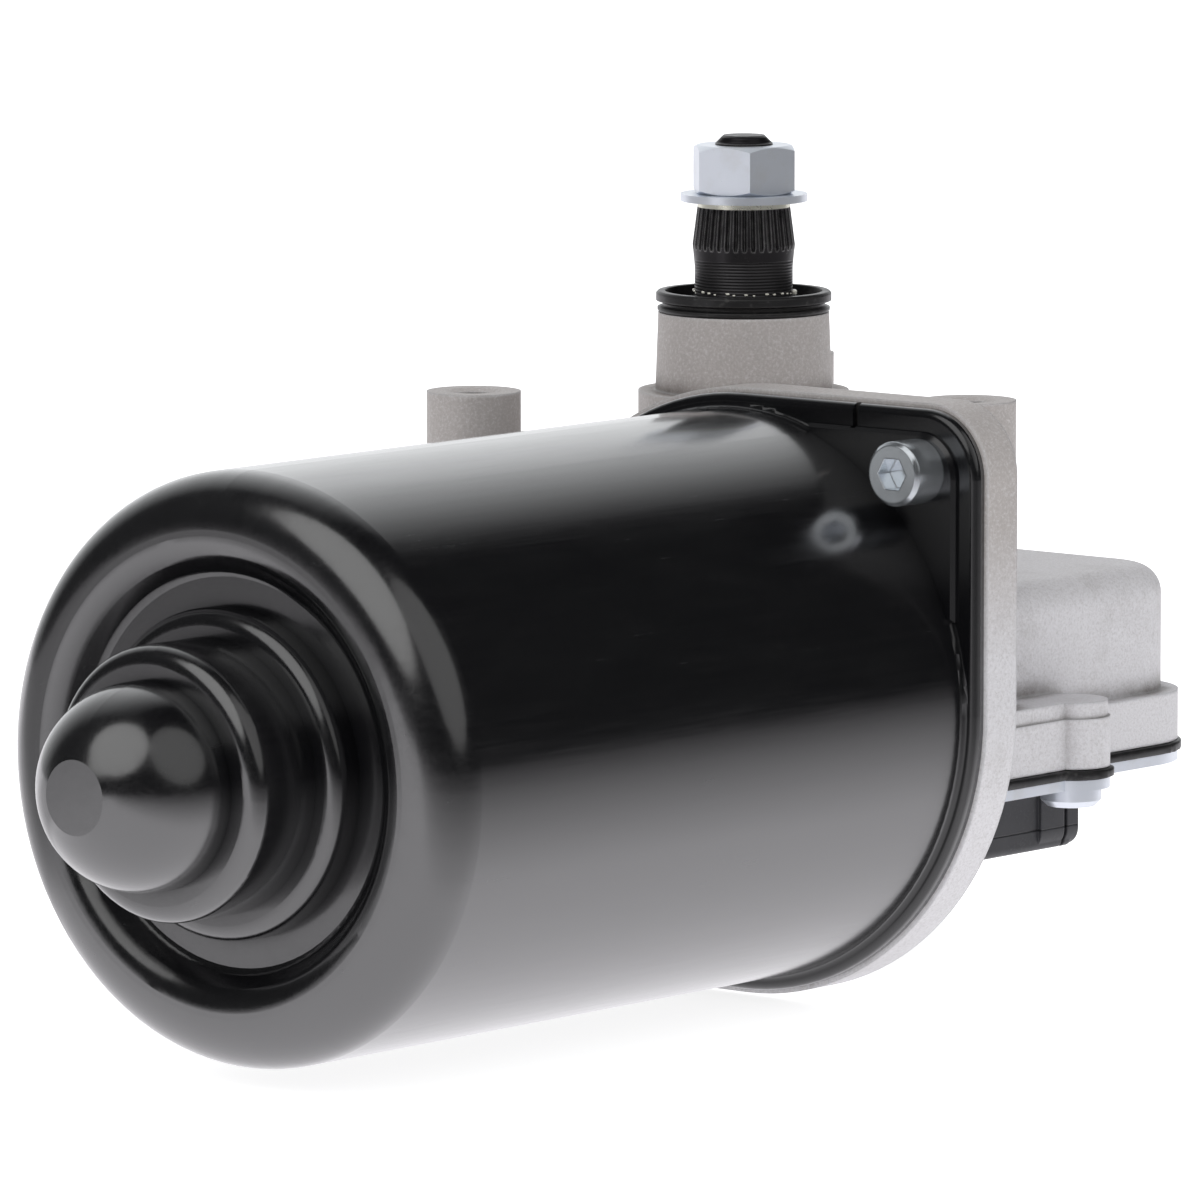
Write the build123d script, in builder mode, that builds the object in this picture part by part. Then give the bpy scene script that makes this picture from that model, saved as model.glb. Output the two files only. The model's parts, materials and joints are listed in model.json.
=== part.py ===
# Two-speed wiper motor: a deep-drawn steel can bolted to a die-cast worm gearbox.
# Frame, in millimetres: origin on the output shaft's axis, at the tops of the three mounting bosses;
# +Z up along the output shaft, +X along the motor from its nose towards the gearbox's end wall.
import os
from math import acos, asin, atan, atan2, cos, degrees, pi, radians, sin, sqrt, tan

from build123d import *

# ---------------------------------------------------------------- driving dimensions
# gear train
gear_module = 1.0
wheel_teeth = 46
worm_pitch_radius = 5.0
tooth_play = 0.20             # play left in the mesh on each side of the pair
pressure_angle = 20.0
wheel_face = 10.0
worm_length = 20.0

# motor axis below the boss tops
axis_drop = 36.7

# can
can_radius = 37.8
can_wall = 1.8
can_flange_x = -35.4          # front face of the pressed flange
can_lip = 1.9                 # flange proud of the barrel
can_cap_x = -138.4
can_cap_corner = 7.0
can_cap_width = 9.6           # flat of the cap, from the barrel in to the dish
can_dish_width = 3.0          # slope of the dish
can_dish_floor = 4.2          # floor of the dish, from the slope in to the ring
can_dish_depth = 3.4
nose_ring_height = 1.0
nose_ring_width = 3.55
nose_cup_height = 10.9
nose_cup_width = 4.25
nose_dome_rise = 1.8          # from the cup's rim to the dome's centre
nose_tip_share = 0.36         # tip disc's radius, as a share of the dome's
lobe_corner = 8.8
lobe_pad_raise = 0.9
lobe_pad_inset = 3.0
lobe_screw_lift = 0.8         # screws stand this much further up and down than sideways
can_notch_width = 0.8
can_notch_depth = 3.2
can_notch_inset = 20.0        # from the flange's corner side
can_cove = 0.8                # hollow round where the barrel meets the flange

# can screws
can_screw_radius = 2.5
can_screw_head_radius = 4.25
can_screw_head_height = 5.5
can_screw_length = 9.0
can_screw_socket = 4.0

# gearbox casting
flange_thickness = 6.2
flange_margin = 0.6           # casting flange proud of the can flange all round
chamber_play = 1.6            # between the wheel's tips and the chamber wall
chamber_wall = 3.9
roof_z = -26.5
roof_wall = 3.5
base_z = -50.55
near_wall_y = -38.0
end_wall_x = 50.6
end_corner = 10.0
far_corner = 8.0
hub_corner = 5.0
far_corner_y = -4.0
roof_round = 4.0
tunnel_radius = 7.2
tunnel_end_x = 46.0
rim_proud = 2.4
rim_height = 6.8
lug_radius = 5.3
lug_height = 9.0
lug_step = 0.35               # upper part of each lug set back from the joint rim
lug_web_reach = 8.0           # near lug's web, out from the tunnel wall
lug_web_root = 3.0            # and into it

# mounting bosses
mount_pcd = 77.6
mount_boss_radius = 6.35
mount_thread_core = 2.5
mount_thread_depth = 16.0
mount_mouth_radius = 3.8
mount_mouth_depth = 0.45
arm_thickness = 7.0
gusset_reach = 5.0
gusset_height = 3.6

# output boss and shaft
boss_top_z = 9.4
boss_top_radius = 11.6
boss_foot_radius = 12.0
collar_z = -1.2
collar_radius = 14.3
neck_radius = 19.0
shaft_radius = 6.65
bush_wall = 2.2
bush_length = 16.0
running_gap = 0.03
taper_foot_z = 15.6
taper_wide_z = 18.6
taper_top_z = 23.7
taper_wide_radius = 6.95
taper_top_radius = 6.3
serrations = 36
serration_depth = 0.45
stud_radius = 3.9
stud_top_z = 33.4
stud_bevel = 1.1
nut_across_flats = 13.0
nut_height = 6.6
nut_turn = 45.5
washer_radius = 8.6
washer_thickness = 1.0
spring_washer_thickness = 0.8
seal_height = 2.9
seal_radius = 11.9
circlip_thickness = 1.0

# cover
gasket_thickness = 1.5
gasket_proud = 0.6
cover_thickness = 1.4
cover_screw_radius = 2.0
cover_screw_head_radius = 4.15
cover_screw_head_height = 2.6
cover_screw_head_bevel = 0.9
cover_screw_length = 9.0

# connector
connector_low_x = -6.0
neck_inset_x = 3.0            # neck through the cover, from the connector's sides
neck_length = 9.0
neck_inset_y = 1.5
neck_width = 6.0
neck_play = 0.2
connector_mouth_x = 24.9
connector_near_y = -38.0
connector_far_y = -16.0
connector_height = 9.45
connector_wall = 1.5
collar_length = 8.2
collar_proud = 0.5
collar_groove_x = 2.4         # groove's far side, back from the mouth
collar_groove = 0.7
connector_cavity = 17.0
blade_count = 4
blade_width = 2.8
blade_thickness = 0.8
blade_recess = 6.4

# motor inside
motor_shaft_radius = 4.0
magnet_thickness = 7.5
magnet_length = 54.0
magnet_arc = 132.0
clip_sheet = 0.9
air_gap = 0.7
core_length = 46.0
core_centre_x = -92.0
armature_slots = 12
slot_depth = 9.7
slot_width = 5.4
slot_mouth = 1.8
tooth_tip = 2.2
end_turn_length = 11.0
commutator_radius = 12.0
commutator_length = 15.0
commutator_riser = 2.0
commutator_cut = 0.5
commutator_bars = 24
brush_plate_thickness = 2.6
brush_width = 6.4
brush_depth = 8.0
brush_length = 13.0
brush_angles = (90.0, 270.0, 150.0)
spring_wire = 0.7
spring_radius = 2.2
spring_turns = 3
spring_room = 6.0
holder_wall = 0.6
holder_play = 0.15
ball_bearing_radius = 11.0
ball_bearing_width = 7.0
nose_bearing_radius = 8.0
nose_bearing_length = 9.0
end_bush_length = 9.0
thrust_pad_radius = 3.2
thrust_screw_radius = 4.0
thrust_screw_seat = 0.9       # from the tunnel's end to the screw
thrust_screw_recess = 0.4
hex_socket_radius = 2.3
bearing_hub_wall = 5.0
bearing_hub_reach = 6.0

# ---------------------------------------------------------------- worked-out values
wheel_pitch_radius = gear_module * wheel_teeth / 2
centre_distance = wheel_pitch_radius + worm_pitch_radius
worm_pitch = pi * gear_module
lead_angle = atan2(worm_pitch, 2 * pi * worm_pitch_radius)
wheel_tip = wheel_pitch_radius + gear_module
wheel_root = wheel_pitch_radius - 1.25 * gear_module
worm_tip = worm_pitch_radius + gear_module
worm_root = worm_pitch_radius - 1.25 * gear_module
wheel_low_z = -axis_drop - wheel_face / 2
wheel_high_z = -axis_drop + wheel_face / 2

can_flange_radius = can_radius + can_lip
can_dish_radius = can_radius - can_cap_width
can_dish_foot_radius = can_dish_radius - can_dish_width
nose_ring_radius = can_dish_foot_radius - can_dish_floor
nose_cup_radius = nose_ring_radius - nose_ring_width
nose_dome_radius = nose_cup_radius - nose_cup_width
nose_tip_radius = nose_dome_radius * nose_tip_share
can_flange_back_x = can_flange_x + can_wall
flange_back_x = can_flange_back_x + flange_thickness
can_inner = can_radius - can_wall
nose_ring_x = can_cap_x - nose_ring_height
nose_cup_x = nose_ring_x - nose_cup_height
dome_centre_x = nose_cup_x - nose_dome_rise
nose_tip_x = dome_centre_x - sqrt(nose_dome_radius ** 2 - nose_tip_radius ** 2)
lobe_screw = can_flange_radius - lobe_corner
can_screw_places = (
    (-lobe_screw, lobe_screw + lobe_screw_lift), (lobe_screw, -lobe_screw - lobe_screw_lift)
)
pad_face_x = can_flange_x - lobe_pad_raise

chamber_radius = wheel_tip + chamber_play
chamber_outer = chamber_radius + chamber_wall
chamber_roof_z = roof_z - roof_wall
mount_radius = mount_pcd / 2
mount_angles = (30.0, 150.0, 270.0)
bush_outer = shaft_radius + bush_wall
gasket_z = base_z - gasket_thickness
cover_z = gasket_z - cover_thickness
near_lug = (16.8, near_wall_y - 5.4)
lug_places = (
    near_lug,
    ((chamber_outer + 3.2) * cos(radians(128)), (chamber_outer + 3.2) * sin(radians(128))),
    ((chamber_outer + 3.2) * cos(radians(78)), (chamber_outer + 3.2) * sin(radians(78))),
    (end_wall_x - 3.4, far_corner_y + far_corner + 2.0),
)

motor_line = Axis((0, -centre_distance, -axis_drop), (1, 0, 0))
motor_section = Plane(origin=(0, -centre_distance, -axis_drop), x_dir=(1, 0, 0), z_dir=(0, -1, 0))
output_section = Plane.XZ


def across(x):
    """Plane square to the motor axis at x; its x runs along +Y and its y along +Z."""
    return Plane(origin=(x, -centre_distance, -axis_drop), x_dir=(0, 1, 0), z_dir=(1, 0, 0))


def level(z):
    """Horizontal plane at z."""
    return Plane.XY.offset(z)


def corner_at(builder, x, y):
    """The vertex of a sketch that lies nearest to a point."""
    return builder.vertices().sort_by_distance((x, y, 0))[0]


def finish(builder, name):
    """Label a piece and write it."""
    builder.part.label = name
    export_step(builder.part, f"parts/{name}.step")


os.makedirs("parts", exist_ok=True)


# ---------------------------------------------------------------- can
def can_section(inset):
    """Half section of the drawn can, moved inwards by inset; only the outer skin has its small rounds."""
    radius = can_radius - inset
    ring = nose_ring_radius - inset
    cup = nose_cup_radius - inset
    dome = nose_dome_radius - inset
    cap_x = can_cap_x + inset
    dish_x = cap_x + can_dish_depth
    dish_slope = atan2(can_dish_depth, can_dish_radius - can_dish_foot_radius)
    dish_shift = inset * tan(dish_slope / 2)
    dish = can_dish_radius + dish_shift
    dish_foot = can_dish_foot_radius + dish_shift
    ring_x = nose_ring_x + inset
    cup_x = nose_cup_x + inset
    tip_x = nose_tip_x + inset
    tip = sqrt(dome ** 2 - (dome_centre_x - tip_x) ** 2)
    mid = radians(0.5 * degrees(asin(tip / dome)) + 45)
    with BuildSketch(motor_section) as section:
        with BuildLine():
            Polyline(
                (tip_x, tip),
                (tip_x, 0),
                (can_flange_back_x, 0),
                (can_flange_back_x, radius),
                (cap_x, radius),
                (cap_x, dish),
                (dish_x, dish_foot),
                (dish_x, ring),
                (ring_x, ring),
                (ring_x, cup),
                (cup_x, cup),
                (cup_x, dome),
                (dome_centre_x, dome),
            )
            ThreePointArc(
                (dome_centre_x, dome),
                (dome_centre_x - dome * cos(mid), dome * sin(mid)),
                (tip_x, tip),
            )
        make_face()
        fillet(corner_at(section, cap_x, radius), can_cap_corner - inset)
        if inset == 0:
            fillet(corner_at(section, cap_x, dish), 4.0)
            fillet(corner_at(section, dish_x, dish_foot), 1.2)
            fillet(corner_at(section, ring_x, ring), 2.1)
            fillet(corner_at(section, cup_x, cup), 2.3)
    return section.sketch


def flange_outline(grow=0.0):
    """Round flange with two square lobes, one above the near side and one below the far side."""
    reach = can_flange_radius + grow
    with BuildSketch() as outline:
        Circle(reach)
        with Locations((-reach / 2, reach / 2), (reach / 2, -reach / 2)):
            Rectangle(reach, reach)
        fillet(corner_at(outline, -reach, reach), lobe_corner + grow)
        fillet(corner_at(outline, reach, -reach), lobe_corner + grow)
    return outline.sketch


def lobe_pads():
    """The raised pads round the two can screws."""
    reach = can_flange_radius - lobe_pad_inset
    start = reach / 3
    with BuildSketch() as pads:
        for side in (1, -1):
            with Locations((-side * (reach + start) / 2, side * (reach + start) / 2)):
                Rectangle(reach - start, reach - start)
        fillet(corner_at(pads, -reach, reach), lobe_corner - lobe_pad_inset)
        fillet(corner_at(pads, reach, -reach), lobe_corner - lobe_pad_inset)
    return pads.sketch


with BuildPart() as motor_can:
    with BuildSketch(across(can_flange_x)):
        add(flange_outline())
    extrude(amount=can_wall)
    fillet(motor_can.faces().sort_by(Axis.X)[0].outer_wire().edges(), 1.1)
    with BuildSketch(across(pad_face_x)):
        add(lobe_pads())
    extrude(amount=lobe_pad_raise)
    chamfer(motor_can.faces().group_by(Axis.X)[0].edges(), 0.5)
    add(can_section(0.0))
    revolve(axis=motor_line)
    # cove where the barrel meets the flange
    with BuildSketch(motor_section):
        with BuildLine():
            low = (can_flange_x - can_cove, can_radius)
            high = (can_flange_x, can_radius + can_cove)
            bite = can_cove * (1 - sin(radians(45)))
            Polyline(low, (can_flange_x, can_radius), high)
            ThreePointArc(low, (can_flange_x - bite, can_radius + bite), high)
        make_face()
    revolve(axis=motor_line)
    add(can_section(can_wall))
    revolve(axis=motor_line, mode=Mode.SUBTRACT)
    with Locations(across(pad_face_x)):
        with Locations(*can_screw_places):
            Hole(can_screw_radius + 0.3)
    with BuildSketch(across(pad_face_x)):
        notch_y = can_flange_radius - can_notch_inset
        for side in (1, -1):
            with Locations((-side * notch_y, side * can_flange_radius)):
                Rectangle(can_notch_width, 2 * can_notch_depth)
    extrude(amount=can_wall + lobe_pad_raise, mode=Mode.SUBTRACT)
finish(motor_can, "motor_can")


# ---------------------------------------------------------------- gearbox casting
def housing_plan(grow=0.0):
    """Plan of the gear chamber, the worm tunnel beside it and the squared end."""
    with BuildSketch() as plan:
        Circle(chamber_outer + grow)
        with Locations((end_wall_x - end_corner, near_wall_y + end_corner)):
            Circle(end_corner + grow)
        with Locations((end_wall_x - far_corner, far_corner_y)):
            Circle(far_corner + grow)
        with Locations((flange_back_x + hub_corner, near_wall_y + hub_corner)):
            Circle(hub_corner + grow)
        make_hull()
    return plan.sketch


def rim_plan(grow=0.0):
    """Plan of the cover's joint face, with its screw lugs."""
    with BuildSketch() as plan:
        add(housing_plan(rim_proud + grow))
        with Locations(*lug_places):
            Circle(lug_radius + grow)
        with Locations((flange_back_x, near_wall_y - lug_web_reach - grow)):
            Rectangle(near_lug[0] - flange_back_x, lug_web_reach + lug_web_root, align=Align.MIN)
    return plan.sketch


def cavity_plan():
    """Plan of the open gear chamber and the pocket beside it."""
    pocket_end = end_wall_x - chamber_wall
    pocket_low = near_wall_y + 2 * (-near_wall_y - centre_distance) + tunnel_radius / 2
    pocket_high = far_corner_y + far_corner - chamber_wall
    with BuildSketch() as plan:
        Circle(chamber_radius)
        with Locations((pocket_end / 2, (pocket_low + pocket_high) / 2)):
            Rectangle(pocket_end, pocket_high - pocket_low)
        fillet(corner_at(plan, pocket_end, pocket_low), 3.0)
        fillet(corner_at(plan, pocket_end, pocket_high), 3.0)
    return plan.sketch


with BuildPart() as gear_housing:
    # chamber and tunnel block with its rounded roof
    with BuildSketch(level(base_z)):
        add(housing_plan())
    extrude(amount=roof_z - base_z)
    fillet(gear_housing.faces().sort_by(Axis.Z)[-1].outer_wire().edges(), roof_round)
    # joint rim, and above it the screw lugs with the near one's web
    with BuildSketch(level(base_z)):
        add(rim_plan())
    extrude(amount=rim_height)
    with BuildSketch(level(base_z)):
        with Locations(*lug_places):
            Circle(lug_radius - lug_step)
        with Locations((flange_back_x, near_wall_y - lug_web_reach + lug_step)):
            Rectangle(
                near_lug[0] + lug_radius / 2 - flange_back_x, lug_web_reach + lug_web_root, align=Align.MIN
            )
    extrude(amount=lug_height)
    # flange that closes the can, and the bearing hub behind it
    with BuildSketch(across(can_flange_back_x)):
        add(flange_outline(flange_margin))
    extrude(amount=flange_thickness)
    with BuildSketch(across(can_flange_back_x)):
        Circle(ball_bearing_radius + bearing_hub_wall)
        with Locations((0, base_z + axis_drop - ball_bearing_radius)):
            Rectangle(4 * ball_bearing_radius, 2 * ball_bearing_radius, mode=Mode.SUBTRACT)
    extrude(amount=flange_thickness + bearing_hub_reach)
    # output boss, collar and neck
    with BuildSketch(output_section):
        Polygon(
            (0, roof_z - 1.0),
            (neck_radius, roof_z - 1.0),
            (collar_radius, (roof_z + collar_z) / 2),
            (collar_radius, collar_z),
            (boss_foot_radius, collar_z),
            (boss_top_radius, boss_top_z),
            (0, boss_top_z),
            align=None,
        )
    revolve(axis=Axis.Z)
    # mounting bosses on their arms
    with BuildSketch(level(0)):
        with PolarLocations(mount_radius, 3, start_angle=mount_angles[0]):
            Circle(mount_boss_radius)
    extrude(amount=base_z + rim_height)
    for angle in mount_angles:
        arm_plane = Plane(
            origin=(0, 0, 0), x_dir=(cos(radians(angle)), sin(radians(angle)), 0),
            z_dir=(sin(radians(angle)), -cos(radians(angle)), 0),
        )
        with BuildSketch(arm_plane):
            Polygon(
                (0, collar_z - 6.0),
                (mount_radius, collar_z - 14.0),
                (mount_radius, base_z + rim_height + 4.0),
                (chamber_radius + 2.0, base_z + rim_height),
                (0, base_z + rim_height),
                align=None,
            )
        extrude(amount=arm_thickness / 2, both=True)
    # small gusset between the near boss and the tunnel roof
    with BuildSketch(Plane.XZ.offset(-near_wall_y - 2.6)):
        Polygon(
            (0, roof_z - 1.0),
            (mount_boss_radius + gusset_reach, roof_z - 1.0),
            (mount_boss_radius + gusset_reach, roof_z),
            (mount_boss_radius - 0.6, roof_z + gusset_height),
            (0, roof_z + gusset_height),
            align=None,
        )
    extrude(amount=-3.0)
    # gear chamber, worm tunnel, bearing seats and shaft bore
    with BuildSketch(level(base_z)):
        add(cavity_plan())
    extrude(amount=chamber_roof_z - base_z, mode=Mode.SUBTRACT)
    with BuildSketch(across(can_flange_back_x)):
        Circle(tunnel_radius)
    extrude(amount=tunnel_end_x - can_flange_back_x, mode=Mode.SUBTRACT)
    with BuildSketch(across(can_flange_back_x)):
        Circle(ball_bearing_radius + running_gap)
    extrude(amount=ball_bearing_width, mode=Mode.SUBTRACT)
    with BuildSketch(across(tunnel_end_x)):
        Circle(thrust_screw_radius + running_gap)
    extrude(amount=end_wall_x - tunnel_end_x, mode=Mode.SUBTRACT)
    with BuildSketch(level(chamber_roof_z)):
        Circle(bush_outer + running_gap)
    extrude(amount=boss_top_z - chamber_roof_z, mode=Mode.SUBTRACT)
    # threaded holes
    with BuildSketch(level(0)):
        with PolarLocations(mount_radius, 3, start_angle=mount_angles[0]):
            Circle(mount_thread_core)
    extrude(amount=-mount_thread_depth, mode=Mode.SUBTRACT)
    mouth_taper = degrees(atan((mount_mouth_radius - mount_thread_core) / mount_mouth_depth))
    with BuildSketch(level(0)):
        with PolarLocations(mount_radius, 3, start_angle=mount_angles[0]):
            Circle(mount_mouth_radius)
    extrude(amount=-mount_mouth_depth, taper=mouth_taper, mode=Mode.SUBTRACT)
    with BuildSketch(across(can_flange_back_x)):
        with Locations(*can_screw_places):
            Circle(can_screw_radius + running_gap)
    extrude(amount=flange_thickness, mode=Mode.SUBTRACT)
    with BuildSketch(level(base_z)):
        with Locations(*lug_places):
            Circle(cover_screw_radius + running_gap)
    extrude(amount=lug_height - 1.5, mode=Mode.SUBTRACT)
finish(gear_housing, "gear_housing")


# ---------------------------------------------------------------- gasket, cover and their screws
def joint_plan(grow, inner):
    """Gasket or cover plan, trimmed clear of the motor flange, with screw holes."""
    trim = flange_back_x + 0.4
    reach = 200.0
    with BuildSketch() as plan:
        add(rim_plan(grow))
        if inner:
            add(cavity_plan(), mode=Mode.SUBTRACT)
        with Locations((trim - reach / 2, 0)):
            Rectangle(reach, reach, mode=Mode.SUBTRACT)
        with Locations(*lug_places):
            Circle(cover_screw_radius + 0.3, mode=Mode.SUBTRACT)
    return plan.sketch


neck_middle = (
    connector_low_x + neck_inset_x + neck_length / 2, connector_far_y - neck_inset_y - neck_width / 2
)

with BuildPart() as cover_gasket:
    with BuildSketch(level(gasket_z)):
        add(joint_plan(gasket_proud, True))
    extrude(amount=gasket_thickness)
finish(cover_gasket, "cover_gasket")

with BuildPart() as gear_cover:
    with BuildSketch(level(cover_z)):
        add(joint_plan(0.0, False))
    extrude(amount=cover_thickness)
    with BuildSketch(level(cover_z)):
        with Locations(neck_middle):
            Rectangle(neck_length + 2 * neck_play, neck_width + 2 * neck_play)
    extrude(amount=cover_thickness, mode=Mode.SUBTRACT)
finish(gear_cover, "gear_cover")

with BuildPart() as cover_screws:
    with BuildSketch(level(cover_z)):
        with Locations(*lug_places):
            Circle(cover_screw_head_radius)
    extrude(amount=-cover_screw_head_height)
    chamfer(cover_screws.faces().group_by(Axis.Z)[0].edges(), cover_screw_head_bevel)
    with BuildSketch(level(cover_z)):
        with Locations(*lug_places):
            Circle(cover_screw_radius)
    extrude(amount=cover_screw_length)
    with BuildSketch(level(cover_z - cover_screw_head_height)):
        with Locations(*lug_places):
            RegularPolygon(hex_socket_radius, 6)
    extrude(amount=1.8, mode=Mode.SUBTRACT)
finish(cover_screws, "cover_screws")

with BuildPart() as can_screws:
    with BuildSketch(across(pad_face_x)):
        with Locations(*can_screw_places):
            Circle(can_screw_head_radius)
    extrude(amount=-can_screw_head_height)
    chamfer(can_screws.faces().group_by(Axis.X)[0].edges(), 0.5)
    with BuildSketch(across(pad_face_x)):
        with Locations(*can_screw_places):
            Circle(can_screw_radius)
    extrude(amount=can_screw_length)
    with BuildSketch(across(pad_face_x - can_screw_head_height)):
        with Locations(*can_screw_places):
            RegularPolygon(can_screw_socket / sqrt(3), 6)
    extrude(amount=2.5, mode=Mode.SUBTRACT)
finish(can_screws, "can_screws")


# ---------------------------------------------------------------- output shaft and what it carries
def turned(profile, name):
    """A piece turned about the output axis from a half section of (radius, height) points."""
    with BuildPart() as piece:
        with BuildSketch(output_section):
            Polygon(*profile, align=None)
        revolve(axis=Axis.Z)
    finish(piece, name)
    return piece


wheel_hub_z = chamber_roof_z - 1.0
shaft_low_z = wheel_low_z - 4.0
circlip_groove_z = boss_top_z + 0.25

with BuildPart() as output_shaft:
    with BuildSketch(output_section):
        Polygon(
            (0, shaft_low_z),
            (shaft_radius - 0.6, shaft_low_z),
            (shaft_radius, shaft_low_z + 0.6),
            (shaft_radius, circlip_groove_z),
            (shaft_radius - 0.7, circlip_groove_z),
            (shaft_radius - 0.7, circlip_groove_z + circlip_thickness + 0.1),
            (shaft_radius, circlip_groove_z + circlip_thickness + 0.1),
            (shaft_radius, taper_foot_z),
            (taper_wide_radius, taper_wide_z),
            (taper_top_radius, taper_top_z),
            (stud_radius, taper_top_z),
            (stud_radius, stud_top_z - stud_bevel),
            (stud_radius - stud_bevel, stud_top_z),
            (0, stud_top_z),
            align=None,
        )
    revolve(axis=Axis.Z)
    # V grooves cut along the cone
    slope = degrees(atan2(taper_wide_radius - taper_top_radius, taper_top_z - taper_wide_z))
    groove_plane = Plane(
        origin=(taper_top_radius + 0.02, 0, taper_top_z), x_dir=(0, 1, 0),
        z_dir=(sin(radians(slope)), 0, -cos(radians(slope))),
    )
    groove_half = pi * taper_wide_radius / serrations * 0.92
    with BuildPart(mode=Mode.PRIVATE) as groove:
        with BuildSketch(groove_plane):
            Polygon((-groove_half, 0.25), (groove_half, 0.25), (0, -serration_depth), align=None)
        extrude(amount=taper_top_z - taper_wide_z + 0.6, both=True)
    with PolarLocations(0, serrations):
        add(groove.part, mode=Mode.SUBTRACT)
finish(output_shaft, "output_shaft")

washer_z = taper_top_z + spring_washer_thickness
nut_z = washer_z + washer_thickness
thread_gap = 0.05

with BuildPart() as spring_washer:
    with BuildSketch(level(taper_top_z)):
        Circle(taper_top_radius)
        Circle(stud_radius + 0.25, mode=Mode.SUBTRACT)
        with Locations((taper_top_radius, 0)):
            Rectangle(2 * taper_top_radius, 1.0, rotation=20, mode=Mode.SUBTRACT)
    extrude(amount=spring_washer_thickness)
finish(spring_washer, "spring_washer")

with BuildPart() as output_washer:
    with BuildSketch(level(washer_z)):
        Circle(washer_radius)
        Circle(stud_radius + 0.25, mode=Mode.SUBTRACT)
    extrude(amount=washer_thickness)
finish(output_washer, "output_washer")

with BuildPart() as output_nut:
    with BuildSketch(level(nut_z)):
        RegularPolygon(nut_across_flats / 2, 6, major_radius=False, rotation=nut_turn)
    extrude(amount=nut_height)
    # both ends turned to a 30 degree cone
    with BuildSketch(output_section):
        corner = nut_across_flats / sqrt(3)
        flat = nut_across_flats / 2 * 0.97
        rise = (corner - flat) * tan(radians(30))
        Polygon(
            (0, nut_z),
            (flat, nut_z),
            (corner + 0.1, nut_z + rise),
            (corner + 0.1, nut_z + nut_height - rise),
            (flat, nut_z + nut_height),
            (0, nut_z + nut_height),
            align=None,
        )
    revolve(axis=Axis.Z, mode=Mode.INTERSECT)
    with BuildSketch(level(nut_z)):
        Circle(stud_radius + thread_gap)
    extrude(amount=nut_height, mode=Mode.SUBTRACT)
finish(output_nut, "output_nut")

circlip_outer = shaft_radius + 1.6
with BuildPart() as shaft_circlip:
    with BuildSketch(level(circlip_groove_z + 0.05)):
        Circle(circlip_outer)
        Circle(shaft_radius - 0.65, mode=Mode.SUBTRACT)
        with Locations((circlip_outer, 0)):
            Rectangle(2 * circlip_outer, 3.2, rotation=-60, mode=Mode.SUBTRACT)
    extrude(amount=circlip_thickness)
finish(shaft_circlip, "shaft_circlip")

seal_foot = circlip_outer + 0.35
turned(
    (
        (seal_foot, boss_top_z),
        (seal_radius - 0.5, boss_top_z),
        (seal_radius - 0.2, boss_top_z + 0.35),
        (seal_radius - 0.2, boss_top_z + 0.7),
        (seal_radius - 0.9, boss_top_z + 0.95),
        (seal_radius - 0.9, boss_top_z + 1.3),
        (seal_radius, boss_top_z + 1.6),
        (seal_radius, boss_top_z + seal_height - 0.3),
        (seal_radius - 0.3, boss_top_z + seal_height),
        (seal_radius - 1.2, boss_top_z + seal_height),
        (seal_radius - 1.6, boss_top_z + 1.4),
        (seal_foot, boss_top_z + 1.2),
    ),
    "output_seal",
)

for name, top_z in (("upper_bush", boss_top_z - 0.4), ("lower_bush", chamber_roof_z + bush_length)):
    with BuildPart() as bush:
        with BuildSketch(level(top_z)):
            Circle(bush_outer)
            Circle(shaft_radius + running_gap, mode=Mode.SUBTRACT)
        extrude(amount=-bush_length + (0.2 if name == "lower_bush" else 0))
    finish(bush, name)

with BuildPart() as thrust_washer:
    with BuildSketch(level(chamber_roof_z)):
        Circle(bush_outer + 2.6)
        Circle(shaft_radius + running_gap, mode=Mode.SUBTRACT)
    extrude(amount=-0.9)
finish(thrust_washer, "thrust_washer")


# ---------------------------------------------------------------- worm wheel
def roll(radius):
    """Involute function at a radius of the wheel."""
    angle = acos(min(1.0, wheel_pitch_radius * cos(radians(pressure_angle)) / radius))
    return tan(angle) - angle


def gap_half_angle(radius):
    """Half the angle of one tooth gap at a radius."""
    half_pitch_gap = pi / (2 * wheel_teeth) + tooth_play / (2 * wheel_pitch_radius)
    return half_pitch_gap + roll(radius) - roll(wheel_pitch_radius)


def gap_point(radius, side):
    """Point of a gap's flank: across the gap, and out from the axis."""
    angle = gap_half_angle(radius)
    return side * radius * sin(angle), -radius * cos(angle)


gap_plane = Plane(
    origin=(0, 0, -axis_drop), x_dir=(cos(lead_angle), 0, -sin(lead_angle)),
    z_dir=(sin(lead_angle), 0, cos(lead_angle)),
)
with BuildPart() as tooth_gap:
    with BuildSketch(gap_plane):
        with BuildLine():
            outside = wheel_tip + 0.4
            Line(gap_point(wheel_root, -1), gap_point(wheel_root, 1))
            ThreePointArc(
                gap_point(wheel_root, 1), gap_point(wheel_pitch_radius, 1), gap_point(outside, 1)
            )
            Line(gap_point(outside, 1), gap_point(outside, -1))
            ThreePointArc(
                gap_point(outside, -1), gap_point(wheel_pitch_radius, -1), gap_point(wheel_root, -1)
            )
        make_face()
    extrude(amount=wheel_face * 0.6, both=True)

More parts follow.
